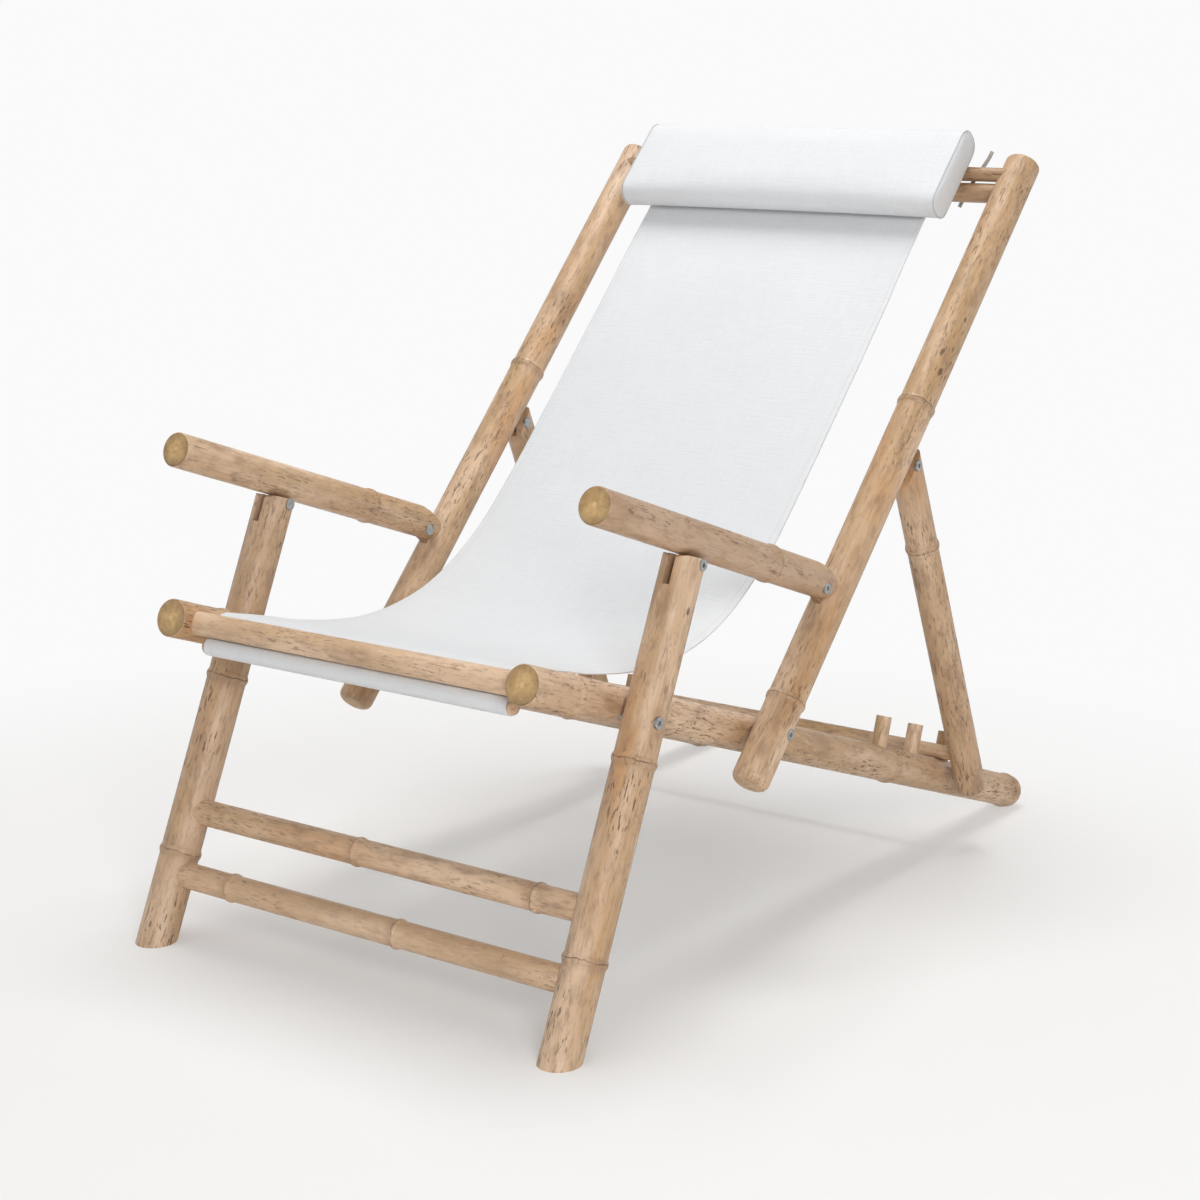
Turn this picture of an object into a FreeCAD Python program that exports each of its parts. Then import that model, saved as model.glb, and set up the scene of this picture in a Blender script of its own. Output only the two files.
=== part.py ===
import FreeCAD, Part
import Sketcher
import math
import os
from FreeCAD import Placement, Rotation, Vector

# Bamboo recliner with a cloth sling, millimetres.
# X runs across the seat (+X is the sitter's left), Y runs from front to rear, Z is up.
# The origin is on the floor, at the middle of the overall length and width.

os.makedirs("parts", exist_ok=True)
doc = FreeCAD.newDocument("BambooRecliner")
sheet = doc.addObject("Spreadsheet::Sheet", "Sizes")

sizes = {
    # culm radii
    "leg_radius": 20.9,
    "rail_radius": 19.6,
    "stile_radius": 19.8,
    "arm_radius": 18.3,
    "prop_radius": 17.5,
    "rung_radius": 13.8,
    "front_bar_radius": 12.1,
    "top_rail_radius": 11.0,
    "crossbar_radius": 8.3,
    "dowel_radius": 8.0,
    "peg_radius": 8.8,
    # lengths of the culms
    "rail_length": 1024.72,
    "leg_length": 560.0,
    "stile_length": 813.0,
    "arm_front_reach": 401.0,
    "prop_foot_reach": 448.0,
    "peg_height": 52.5,
    # spacing across the seat: legs, arms, stiles and props share one plane on each side
    "outboard_x": 267.0,
    "side_gap": 0.5,
    # slopes in the side view, degrees
    "rail_slope": 19.25,
    "leg_lean": 66.15,
    "stile_lean": 47.23,
    # pivots, measured from the floor point of the leg axis
    "rail_front_y": -0.3,
    "rail_front_z": 354.0,
    "leg_pivot_y": 127.0,
    "leg_pivot_z": 300.0,
    "back_pivot_y": 359.6,
    "back_pivot_z": 236.2,
    "crank_y": 70.4,
    "crank_z": 138.9,
    "arm_rise": 7.7,
    "stile_set": 4.0,
    "stile_tail": 65.6,
    "prop_pivot_along": 348.9,
    "prop_pivot_out": 24.9,
    "prop_slope": 66.64,
    "prop_set": 2.3,
    # fold of the linkage, degrees and ratio
    "fold_angle": 80.0,
    "arm_extra_turn": 0.043,
    # cross members
    "rung_upper_rise": 142.0,
    "rung_lower_rise": 74.2,
    "front_bar_along": 23.3,
    "hem_drop": 22.2,
    "hem_back": 1.5,
    "top_rail_along": 769.3,
    "top_rail_out": 0.0,
    "top_dowel_y": 838.0,
    "top_dowel_z": 776.2,
    "peg_first": 675.4,
    "peg_pitch": 77.3,
    # forks, tongues and bolts
    "slot_width": 8.0,
    "slot_depth": 32.0,
    "tongue_thick": 7.0,
    "tongue_radius": 8.5,
    "bolt_radius": 3.0,
    "bolt_play": 0.3,
    "head_radius": 6.0,
    "head_height": 3.4,
    "head_proud": 0.8,
    "socket_radius": 2.6,
    "socket_depth": 1.8,
    "head_gap": 0.5,
    "running_gap": 0.5,
    "fit_gap": 0.1,
    "rest_gap": 0.3,
    # node rings of the bamboo: places along the culms, and size
    "leg_ring_low": 96.5,
    "leg_ring_high": 287.0,
    "rail_ring_front": 71.8,
    "rail_ring_rear": 700.9,
    "rail_ring_tail": 18.0,
    "stile_ring_low": 100.0,
    "stile_ring_high": 473.0,
    "arm_ring_place": 304.0,
    "prop_ring_place": 107.0,
    "ring_tube": 9.0,
    "rung_ring_tube": 6.0,
    "ring_rise": 1.5,
    # rounded ends, grooves and spare lengths
    "end_round": 1.6,
    "foot_round": 6.0,
    "tail_round": 8.5,
    "head_front_round": 8.0,
    "head_rear_round": 7.2,
    "head_side_play": 0.3,
    "saddle_depth": 2.2,
    "prop_scoop": 4.6,
    "prop_top_round": 9.0,
    "prop_top_reach": 13.5,
    "peg_depth": 15.0,
    "socket_side": 11.0,
    "tongue_set": 3.0,
    "prop_slot_depth": 14.0,
    "groove_length": 300.0,
    "leg_groove_start": 180.0,
    "prop_groove_start": 320.0,
    "spare": 40.0,
    "seat_spare": 30.0,
    "plate_spare": 12.0,
    # cloth and headrest
    "cloth_half": 193.0,
    "cloth_thick": 1.2,
    "bend_y": 526.5,
    "bend_z": 460.0,
    "pad_half": 219.0,
    "pad_height": 108.0,
    "pad_thick": 36.5,
    "pad_round": 15.0,
    "pad_crown": 2.5,
    "pad_end_draw": 3.0,
    "pad_end_power": 22.0,
    "pad_rise": 25.4,
    "hem_half": 199.0,
    "pad_gap": 0.6,
    "strap_thick": 1.2,
    "strap_width": 3.6,
    "strap_low_x": 198.0,
    "strap_high_x": 236.0,
    "strap_low_z": 741.0,
    "strap_bend_z": 785.0,
    "strap_high_z": 800.0,
    "strap_lean": 5.0,
}
for row, (alias, number) in enumerate(sizes.items(), start=1):
    sheet.set("A%d" % row, alias.replace("_", " "))
    sheet.set("B%d" % row, str(number))
    sheet.setAlias("B%d" % row, alias)
doc.recompute()


def size(alias):
    return float(sheet.get(alias))


def bind(thing, prop, expression):
    thing.setExpression(prop, expression)


def ref(text):
    # turns "a + b" of sheet aliases into an expression on the sheet
    words = []
    for word in text.split():
        words.append("Sizes." + word if word.isidentifier() else word)
    return " ".join(words)


# Frame directions in the side view, as (y, z) pairs
def turned(angle, along, across=0.0):
    # a step along the direction at this angle and a step to its left
    a = math.radians(angle)
    return (along * math.cos(a) - across * math.sin(a), along * math.sin(a) + across * math.cos(a))


def add(p, q):
    return (p[0] + q[0], p[1] + q[1])


def sub(p, q):
    return (p[0] - q[0], p[1] - q[1])


def rotated(p, angle):
    return turned(angle, p[0], p[1])


rail_dir = -size("rail_slope")
leg_dir = size("leg_lean")
stile_dir = size("stile_lean")
prop_dir = -size("prop_slope")
arm_dir = rail_dir

# overall reach front and rear, which centres the part on the origin
front_reach = -size("leg_radius") / math.sin(math.radians(leg_dir))
rail_front = (size("rail_front_y"), size("rail_front_z"))
end_centre = add(rail_front, turned(rail_dir, size("rail_length") - size("foot_round"),
                                    size("rail_radius") - size("foot_round")))
rear_reach = end_centre[0] + size("foot_round")
shift_y = -(front_reach + rear_reach) / 2


def spot(x, p):
    return Vector(x, p[0] + shift_y, p[1])


leg_foot = (0.0, 0.0)
leg_pivot = (size("leg_pivot_y"), size("leg_pivot_z"))
back_pivot = (size("back_pivot_y"), size("back_pivot_z"))
crank = (size("crank_y"), size("crank_z"))
arm_front_pivot = add(leg_pivot, crank)
arm_rear_pivot = add(back_pivot, crank)
stile_base = add(back_pivot, turned(stile_dir, -size("stile_tail"), size("stile_set")))
prop_pivot = add(back_pivot, turned(stile_dir, size("prop_pivot_along"),
                                    size("stile_set") - size("prop_pivot_out")))
rail_x = size("outboard_x") - size("leg_radius") - size("rail_radius") - size("side_gap")


def culm_place(x, base, angle, along=0.0):
    return Placement(spot(x, add(base, turned(angle, along))), Rotation(Vector(1, 0, 0), angle - 90))


across = Rotation(Vector(0, 1, 0), 90)


def cylinder(name, radius, height, place):
    made = doc.addObject("Part::Cylinder", name)
    bind(made, "Radius", ref(radius))
    if isinstance(height, str):
        bind(made, "Height", ref(height))
    else:
        made.Height = height
    made.Placement = place
    return made


def ring(name, radius, place, tube="ring_tube"):
    # a node of the bamboo: a low round swelling
    made = doc.addObject("Part::Torus", name)
    bind(made, "Radius1", ref(radius + " - " + tube + " + ring_rise"))
    bind(made, "Radius2", ref(tube))
    made.Placement = place
    return made


def rounded(name, base, first, last):
    # rounds the top and bottom rim of a culm
    made = doc.addObject("Part::Fillet", name)
    made.Base = base
    doc.recompute()
    rims = []
    for number, edge in enumerate(base.Shape.Edges, start=1):
        if isinstance(edge.Curve, Part.Circle):
            low = abs(edge.CenterOfMass.distanceToPoint(base.Placement.Base)) < 0.01
            radius = first if low else last
            if radius > 0:
                rims.append((number, radius, radius))
    made.Edges = rims
    return made


def fused(name, pieces):
    made = doc.addObject("Part::MultiFuse", name)
    made.Shapes = pieces
    return made


def cut(name, base, tools):
    made = doc.addObject("Part::Cut", name)
    made.Base = base
    if len(tools) == 1:
        made.Tool = tools[0]
    else:
        made.Tool = fused(name + "_tools", tools)
    return made


def common(name, base, tool):
    made = doc.addObject("Part::Common", name)
    made.Base = base
    made.Tool = tool
    return made


def plate(name, edges, x_low, thick):
    # a flat piece square to X, padded from an outline in the side view
    body = doc.addObject("PartDesign::Body", name)
    sketch = body.newObject("Sketcher::SketchObject", name + "_outline")
    plane = [f for f in body.Origin.OriginFeatures if f.Role == "YZ_Plane"][0]
    sketch.AttachmentSupport = [(plane, "")]
    sketch.MapMode = "FlatFace"
    for edge in edges:
        sketch.addGeometry(edge, False)
    doc.recompute()
    pad = body.newObject("PartDesign::Pad", name + "_pad")
    pad.Profile = sketch
    if isinstance(thick, str):
        bind(pad, "Length", ref(thick))
    else:
        pad.Length = thick
    doc.recompute()
    body.Placement = Placement(Vector(x_low, shift_y, 0), Rotation())
    return body


def flat(p):
    return Vector(p[0], p[1], 0)


def stadium(first, second, radius):
    # outline of a bar with round ends between two points
    angle = math.degrees(math.atan2(second[1] - first[1], second[0] - first[0]))
    a1 = add(first, turned(angle, 0, radius))
    a2 = add(first, turned(angle, -radius))
    a3 = add(first, turned(angle, 0, -radius))
    b1 = add(second, turned(angle, 0, -radius))
    b2 = add(second, turned(angle, radius))
    b3 = add(second, turned(angle, 0, radius))
    return [Part.Arc(flat(a1), flat(a2), flat(a3)), Part.LineSegment(flat(a3), flat(b1)),
            Part.Arc(flat(b1), flat(b2), flat(b3)), Part.LineSegment(flat(b3), flat(a1))]


def loop(points):
    # closed outline: a point, or (middle, end) for an arc that continues from the last point
    edges = []
    last = points[0]
    for item in points[1:] + [points[0]]:
        if isinstance(item[0], tuple):
            edges.append(Part.Arc(flat(last), flat(item[0]), flat(item[1])))
            last = item[1]
        else:
            edges.append(Part.LineSegment(flat(last), flat(item)))
            last = item
    return edges


sides = {"left": 1, "right": -1}
kept = {}


def keep(node, thing):
    thing.Label = node
    kept[node] = thing


def hole(name, radius, p, x_from, x_to):
    low = min(x_from, x_to)
    return cylinder(name, radius, abs(x_to - x_from), Placement(spot(low, p), across))


def bolt(node, p, x_inner, x_outer):
    # a bolt square to the side, with a round head at each end and a hexagon socket outside
    low = min(x_inner, x_outer)
    high = max(x_inner, x_outer)
    shank = hole(node + "_shank", "bolt_radius", p, low, high)
    heads = []
    for end, x in (("low", low), ("high", high)):
        start = x - size("head_proud") if end == "low" else x + size("head_proud") - size("head_height")
        heads.append(cylinder(node + "_head_" + end, "head_radius", "head_height",
                              Placement(spot(start, p), across)))
    body = fused(node + "_body", [shank] + heads)
    socket = doc.addObject("Part::Prism", node + "_socket")
    socket.Polygon = 6
    bind(socket, "Circumradius", ref("socket_radius"))
    bind(socket, "Height", ref("socket_depth + 1"))
    outer_is_high = x_outer > x_inner
    face = high + size("head_proud") if outer_is_high else low - size("head_proud")
    start = face - size("socket_depth") if outer_is_high else face - 1
    socket.Placement = Placement(spot(start, p), across)
    keep(node, cut(node, body, [socket]))


def bolt_cuts(name, p, x_inner, x_outer, inner_seat, outer_seat):
    # the hole for a bolt, with a round seat where a head lies in the culm
    spare = size("seat_spare")
    low = min(x_inner, x_outer) - spare
    cuts = [hole(name + "_hole", "bolt_radius + bolt_play", p, low, max(x_inner, x_outer) + spare)]
    depth = size("head_height") - size("head_proud") + size("fit_gap")
    middle = (x_inner + x_outer) / 2
    for key, x, wanted in (("in", x_inner, inner_seat), ("out", x_outer, outer_seat)):
        if wanted:
            outwards = 1 if x > middle else -1
            start = x - depth if outwards > 0 else x - spare + depth
            cuts.append(cylinder(name + "_seat_" + key, "head_radius + bolt_play", "seat_spare",
                                 Placement(spot(start, p), across)))
    return cuts


# Outlines that shape the pole heads in the side view
def perp(p, base, angle):
    # distance of a point to the left of a line
    d = sub(p, base)
    a = math.radians(angle)
    return -d[0] * math.sin(a) + d[1] * math.cos(a)


def pos(p, base, angle):
    d = sub(p, base)
    a = math.radians(angle)
    return d[0] * math.cos(a) + d[1] * math.sin(a)


arm_base = add(arm_rear_pivot, turned(arm_dir, 0, size("arm_rise")))
arm_under = size("arm_rise") - size("arm_radius") - size("head_gap")


# how fast the leg axis climbs away from the arm line
rise_rate = math.sin(math.radians(leg_dir - arm_dir))


def corner(line_base, side, radius):
    # centre of the round between the head's top line and the culm's side line
    aside = side * (size("leg_radius") + size("head_side_play") - radius)
    side_point = add(leg_foot, turned(leg_dir, 0, aside))
    return add(side_point, turned(leg_dir, (perp(line_base, side_point, arm_dir) - radius) / rise_rate))


def head_plate(name, x_mid):
    # side view of the forked leg head: its top follows the arm, its corners are rounded
    line_base = add(arm_rear_pivot, turned(arm_dir, 0, arm_under))
    front_round = size("head_front_round")
    rear_round = size("head_rear_round")
    front = corner(line_base, 1, front_round)
    rear = corner(line_base, -1, rear_round)
    wide = size("leg_radius") + size("end_round") * 2
    low = -size("spare") * 1.5
    top_angle = arm_dir + 90
    mid_front = (top_angle + leg_dir + 90) / 2
    mid_rear = (top_angle + leg_dir - 90) / 2
    rear_arc = (add(rear, turned(mid_rear, rear_round)), add(rear, turned(top_angle, rear_round)))
    front_arc = (add(front, turned(mid_front, front_round)), add(front, turned(leg_dir, 0, front_round)))
    points = [add(leg_foot, turned(leg_dir, low, wide)),
              add(leg_foot, turned(leg_dir, low, -wide)),
              add(leg_foot, turned(leg_dir, pos(rear, leg_foot, leg_dir), -wide)),
              add(rear, turned(leg_dir, 0, -rear_round)),
              rear_arc,
              add(front, turned(top_angle, front_round)),
              front_arc,
              add(leg_foot, turned(leg_dir, pos(front, leg_foot, leg_dir), wide))]
    return plate(name, loop(points), x_mid - wide, 2 * wide)


def culm_box(name, x_mid, base, angle, low):
    # a slot square to X through a culm, open at the far end
    slot = doc.addObject("Part::Box", name)
    bind(slot, "Length", ref("slot_width"))
    bind(slot, "Width", ref("spare + spare"))
    bind(slot, "Height", ref("spare * 3"))
    start = add(base, turned(angle, low, size("spare")))
    slot.Placement = Placement(spot(x_mid - size("slot_width") / 2, start),
                               Rotation(Vector(1, 0, 0), angle - 90))
    return slot


def reach(radius, off):
    # how far the side of a culm stands from its middle at a bolt that is off the axis
    return math.sqrt(size(radius) ** 2 - off ** 2)


def off_axis(p, base, angle):
    return abs(perp(p, base, angle))


# everything below the floor is cut away
floor_wide, floor_long, floor_deep = 800, 2000, 60
floor = doc.addObject("Part::Box", "floor_cut")
floor.Length = floor_wide
floor.Width = floor_long
floor.Height = floor_deep
floor.Placement = Placement(Vector(-floor_wide / 2, -floor_long / 2, -floor_deep), Rotation())

# where the leg axis meets the line just under the arm
leg_end = perp(add(arm_rear_pivot, turned(arm_dir, 0, arm_under)), leg_foot, arm_dir) / rise_rate
stile_out = perp(arm_rear_pivot, stile_base, stile_dir)
arm_end_radius = stile_out - size("stile_radius") - size("running_gap")
prop_gap = size("prop_pivot_out") - size("stile_radius") - size("running_gap")
prop_base = add(prop_pivot, turned(prop_dir, 0, size("prop_set")))
rest_turn = stile_dir - 90 - arm_dir
arm_turn = size("fold_angle") * (1 + size("arm_extra_turn"))
prop_turn = size("fold_angle") / 2

# the front bolt slides down the tongue under the arm as the frame folds
slide_end = add(arm_rear_pivot, rotated(sub(arm_front_pivot, arm_rear_pivot),
                                        size("fold_angle") * size("arm_extra_turn")))

front_bar_at = add(rail_front, turned(rail_dir, size("front_bar_along")))
front_hem_at = add(front_bar_at, (size("hem_back"), -size("hem_drop")))
top_rail_at = add(stile_base, turned(stile_dir, size("top_rail_along"), size("top_rail_out")))
top_hem_at = (size("top_dowel_y"), size("top_dowel_z"))
rung_upper_at = turned(leg_dir, size("rung_upper_rise"))
rung_lower_at = turned(leg_dir, size("rung_lower_rise"))
peg_along = [size("peg_first") + size("peg_pitch") * count for count in range(3)]
crossbar_at = add(rail_front, turned(rail_dir, peg_along[2] - size("peg_radius") - size("crossbar_radius")
                                     - size("rest_gap"),
                                     size("rail_radius") + size("crossbar_radius") + size("rest_gap")))


def arm_rear_plate(name, x_mid):
    # rounded rear end of the arm, flush with the stile at rest and clear of it all through the fold
    centre = arm_rear_pivot
    low_turn = arm_dir + rest_turn
    high_turn = low_turn + arm_turn
    half = size("arm_radius") + size("plate_spare")
    tall = 2 * half
    start = add(centre, add(turned(low_turn, arm_end_radius), turned(low_turn, 0, -tall)))
    first = add(centre, turned(low_turn, arm_end_radius))
    middle = add(centre, turned((low_turn + high_turn) / 2, arm_end_radius))
    last = add(centre, turned(high_turn, arm_end_radius))
    top = add(last, turned(high_turn, 0, tall))
    far = size("arm_front_reach") + size("spare")
    points = [start, first, (middle, last), top,
              add(arm_base, turned(arm_dir, -far, tall)), add(arm_base, turned(arm_dir, -far, -tall))]
    return plate(name, loop(points), x_mid - half, 2 * half)


def prop_top_plate(name, x_mid):
    # narrow rounded top of the prop, bevelled so that it swings closed behind the stile
    to_stile = stile_dir + 90
    closed = to_stile + prop_turn
    half = size("prop_radius") + size("plate_spare")
    first = add(prop_pivot, turned(to_stile, prop_gap))
    middle = add(prop_pivot, turned((to_stile + closed) / 2, prop_gap))
    last = add(prop_pivot, turned(closed, prop_gap))
    low = add(last, turned(closed, 0, 3 * size("spare")))
    round_at = add(prop_pivot, turned(stile_dir, size("prop_top_reach"), prop_gap - size("prop_top_round")))
    top_round = size("prop_top_round")
    foot = size("prop_foot_reach") + size("seat_spare")
    points = [first, (middle, last), low,
              add(prop_base, turned(prop_dir, foot, -3 * half)), add(prop_base, turned(prop_dir, foot, half)),
              add(prop_base, turned(prop_dir, top_round, half)),
              add(round_at, turned(to_stile - 150, top_round)),
              (add(round_at, turned(to_stile - 75, top_round)), add(round_at, turned(to_stile, top_round)))]
    return plate(name, loop(points), x_mid - half, 2 * half)


for side, sign in sides.items():
    x = sign * size("outboard_x")
    rail_mid = sign * rail_x

    # leg: culm with two rings, forked head and a foot cut level with the floor
    culm = cylinder("leg_culm_" + side, "leg_radius", "leg_length + spare",
                    culm_place(x, leg_foot, leg_dir, -size("spare")))
    rings = [ring("leg_%s_%s" % (place, side), "leg_radius",
                  culm_place(x, leg_foot, leg_dir, size("leg_" + place)))
             for place in ("ring_low", "ring_high")]
    whole = fused("leg_whole_" + side, [culm] + rings)
    headed = common("leg_headed_" + side, whole, head_plate("leg_head_" + side, x))
    leg_slot = culm_box("leg_slot_" + side, x, leg_foot, leg_dir, leg_end - size("slot_depth"))
    rail_out = sign * (size("outboard_x") + reach("leg_radius", off_axis(leg_pivot, leg_foot, leg_dir)))
    rail_in = sign * (rail_x - reach("rail_radius", off_axis(leg_pivot, rail_front, rail_dir)))
    lower_cuts = bolt_cuts("leg_rail_" + side, leg_pivot, rail_in, rail_out, True, True)
    half = reach("leg_radius", off_axis(arm_front_pivot, leg_foot, leg_dir))
    upper_cuts = bolt_cuts("leg_arm_" + side, arm_front_pivot, x - sign * half, x + sign * half, True, True)
    keep("leg_" + side, cut("leg_cut_" + side, headed, [floor, leg_slot] + lower_cuts + upper_cuts))
    bolt("bolt_leg_rail_" + side, leg_pivot, rail_in, rail_out)
    bolt("bolt_leg_arm_" + side, arm_front_pivot, x - sign * half, x + sign * half)

    # stile with rounded ends, two rings and mortises for its two tongues
    culm = rounded("stile_rounded_" + side,
                   cylinder("stile_culm_" + side, "stile_radius", "stile_length",
                            culm_place(x, stile_base, stile_dir)),
                   size("tail_round"), size("end_round") * 2)
    rings = [ring("stile_%s_%s" % (place, side), "stile_radius",
                  culm_place(x, stile_base, stile_dir, size("stile_" + place)))
             for place in ("ring_low", "ring_high")]
    whole = fused("stile_whole_" + side, [culm] + rings)
    back_out = sign * (size("outboard_x") + reach("stile_radius", off_axis(back_pivot, stile_base, stile_dir)))
    back_in = sign * (rail_x - reach("rail_radius", off_axis(back_pivot, rail_front, rail_dir)))
    back_cuts = bolt_cuts("stile_rail_" + side, back_pivot, back_in, back_out, True, True)
    tongue_low = x - size("tongue_thick") / 2
    bore_low, bore_high = x - size("leg_radius"), x + size("leg_radius")
    inner_arm = add(arm_rear_pivot, turned(stile_dir, 0, -(stile_out - size("socket_side"))))
    inner_prop = add(prop_pivot, turned(stile_dir, 0, size("prop_pivot_out") - size("socket_side")))
    mortises = []
    for key, inner, pivot in (("arm", inner_arm, arm_rear_pivot), ("prop", inner_prop, prop_pivot)):
        blank = plate("%s_tongue_blank_%s" % (key, side), stadium(inner, pivot, size("tongue_radius")),
                      tongue_low, "tongue_thick")
        eye = hole("%s_tongue_eye_%s" % (key, side), "bolt_radius + bolt_play", pivot, bore_low, bore_high)
        keep("%s_tongue_%s" % (key, side), cut("%s_tongue_cut_%s" % (key, side), blank, [eye]))
        mortises.append(plate("%s_mortise_%s" % (key, side),
                              stadium(inner, pivot, size("tongue_radius") + size("fit_gap")),
                              tongue_low - size("fit_gap"), "tongue_thick + 2 * fit_gap"))
    keep("stile_" + side, cut("stile_cut_" + side, whole, back_cuts + mortises))
    bolt("bolt_stile_rail_" + side, back_pivot, back_in, back_out)

    # rail: runs from the front edge down to the floor, grooved where the other culms cross it
    culm = rounded("rail_rounded_" + side,
                   cylinder("rail_culm_" + side, "rail_radius", "rail_length",
                            culm_place(rail_mid, rail_front, rail_dir)),
                   size("end_round"), size("foot_round"))
    ring_places = (size("rail_ring_front"), size("rail_ring_rear"),
                   size("rail_length") - size("rail_ring_tail"))
    rings = [ring("rail_ring_%s_%d" % (side, n), "rail_radius", culm_place(rail_mid, rail_front, rail_dir, at))
             for n, at in enumerate(ring_places)]
    whole = fused("rail_whole_" + side, [culm] + rings)
    grooves = [cylinder("leg_groove_" + side, "leg_radius + side_gap + saddle_depth", "groove_length",
                        culm_place(x, leg_foot, leg_dir, size("leg_groove_start"))),
               cylinder("stile_groove_" + side, "leg_radius + side_gap + saddle_depth", "groove_length",
                        culm_place(x, stile_base, stile_dir, -size("stile_tail"))),
               cylinder("prop_groove_" + side, "leg_radius + side_gap + prop_scoop", "groove_length",
                        culm_place(x, prop_base, prop_dir, size("prop_groove_start")))]
    sockets = [cylinder("peg_socket_%s_%d" % (side, n), "peg_radius + fit_gap", "spare * 2",
                        culm_place(rail_mid, add(rail_front, turned(rail_dir, at)), rail_dir + 90,
                                   size("rail_radius") - size("peg_depth") - size("fit_gap")))
               for n, at in enumerate(peg_along)]
    keep("rail_" + side, cut("rail_cut_" + side, whole, grooves + sockets + lower_cuts + back_cuts + [floor]))
    for n, at in enumerate(peg_along, start=1):
        peg = cylinder("peg_culm_%s_%d" % (side, n), "peg_radius", "peg_height + peg_depth - rail_radius",
                       culm_place(rail_mid, add(rail_front, turned(rail_dir, at)), rail_dir + 90,
                                  size("rail_radius") - size("peg_depth")))
        keep("peg_%s_%d" % (side, n), peg)

    # arm: culm with rounded, forked rear end and a slotted tongue below
    front = add(arm_base, turned(arm_dir, -size("arm_front_reach")))
    culm = rounded("arm_rounded_" + side,
                   cylinder("arm_culm_" + side, "arm_radius", "arm_front_reach + spare",
                            culm_place(x, front, arm_dir)),
                   size("end_round"), 0)
    swelling = ring("arm_ring_" + side, "arm_radius",
                    culm_place(x, front, arm_dir, size("arm_ring_place")))
    whole = fused("arm_whole_" + side, [culm, swelling])
    ended = common("arm_ended_" + side, whole, arm_rear_plate("arm_rear_" + side, x))
    arm_slot = culm_box("arm_slot_" + side, x, arm_base, arm_dir,
                        -size("tongue_radius") - size("running_gap") * 2)
    half = reach("arm_radius", size("arm_rise"))
    arm_cuts = bolt_cuts("arm_stile_" + side, arm_rear_pivot, x - sign * half, x + sign * half, True, True)
    tongue_rise = perp(arm_base, arm_front_pivot, arm_dir) - size("tongue_set")
    tongue_top = add(arm_front_pivot, turned(arm_dir, 0, tongue_rise))
    blank = plate("leg_tongue_blank_" + side, stadium(tongue_top, slide_end, size("tongue_radius")),
                  tongue_low, "tongue_thick")
    slot = plate("leg_tongue_slot_" + side,
                 stadium(arm_front_pivot, slide_end, size("bolt_radius") + size("bolt_play")), bore_low,
                 "leg_radius * 2")
    keep("arm_tongue_front_" + side, cut("leg_tongue_cut_" + side, blank, [slot]))
    mortise = plate("leg_mortise_" + side,
                    stadium(tongue_top, slide_end, size("tongue_radius") + size("fit_gap")),
                    tongue_low - size("fit_gap"), "tongue_thick + 2 * fit_gap")
    keep("arm_" + side, cut("arm_cut_" + side, ended, [arm_slot, mortise] + arm_cuts))
    bolt("bolt_arm_" + side, arm_rear_pivot, x - sign * half, x + sign * half)

    # prop: culm with one ring, narrow forked top and rounded foot
    culm = rounded("prop_rounded_" + side,
                   cylinder("prop_culm_" + side, "prop_radius", "prop_foot_reach + seat_spare",
                            culm_place(x, prop_base, prop_dir, -size("seat_spare"))),
                   0, size("tail_round"))
    swelling = ring("prop_ring_" + side, "prop_radius",
                    culm_place(x, prop_base, prop_dir, size("prop_ring_place")))
    whole = fused("prop_whole_" + side, [culm, swelling])
    topped = common("prop_topped_" + side, whole, prop_top_plate("prop_top_" + side, x))
    prop_slot = culm_box("prop_slot_" + side, x, prop_base, prop_dir + 180, -size("prop_slot_depth"))
    half = reach("prop_radius", size("prop_set"))
    prop_cuts = bolt_cuts("prop_bolt_" + side, prop_pivot, x - sign * half, x + sign * half, True, True)
    keep("prop_" + side, cut("prop_cut_" + side, topped, [prop_slot] + prop_cuts))
    bolt("bolt_prop_" + side, prop_pivot, x - sign * half, x + sign * half)


def bar(node, radius, half_x, p, neighbours, at_rings=()):
    # a cross member, coped to the culms it runs into
    culm = cylinder(node + "_culm", radius, 2 * half_x, Placement(spot(-half_x, p), across))
    pieces = [culm]
    for n, x_ring in enumerate(at_rings):
        place = Placement(spot(x_ring, p), across)
        pieces.append(ring("%s_ring_%d" % (node, n), radius, place, "rung_ring_tube"))
    whole = fused(node + "_whole", pieces) if len(pieces) > 1 else culm
    keep(node, cut(node + "_cut", whole, neighbours))


def copes(name, radius, x_mid, base, angle):
    # the whole line of the two culms that a cross member meets
    return [cylinder("%s_cope_%s" % (name, side), radius + " + fit_gap", "rail_length",
                     culm_place(sign * x_mid, base, angle, -size("spare"))) for side, sign in sides.items()]


upper_rung_rings = (-29.0, 199.0)
lower_rung_rings = (-180.0, 46.0)
leg_copes = copes("leg", "leg_radius", size("outboard_x"), leg_foot, leg_dir)
rail_copes = copes("rail", "rail_radius", rail_x, rail_front, rail_dir)
stile_copes = copes("stile", "stile_radius", size("outboard_x"), stile_base, stile_dir)
prop_copes = copes("prop", "prop_radius", size("outboard_x"), prop_base, prop_dir)
bar("rung_upper", "rung_radius", size("outboard_x"), rung_upper_at, leg_copes, upper_rung_rings)
bar("rung_lower", "rung_radius", size("outboard_x"), rung_lower_at, leg_copes, lower_rung_rings)
bar("front_bar", "front_bar_radius", rail_x, front_bar_at, rail_copes)
bar("top_rail", "top_rail_radius", size("outboard_x"), top_rail_at, stile_copes)
bar("top_hem_dowel", "dowel_radius", size("outboard_x"), top_hem_at, stile_copes)
bar("crossbar", "crossbar_radius", size("outboard_x"), crossbar_at, prop_copes)
keep("front_hem_dowel", cylinder("front_hem_culm", "dowel_radius", "2 * hem_half",
                                 Placement(spot(-size("hem_half"), front_hem_at), across)))

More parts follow.
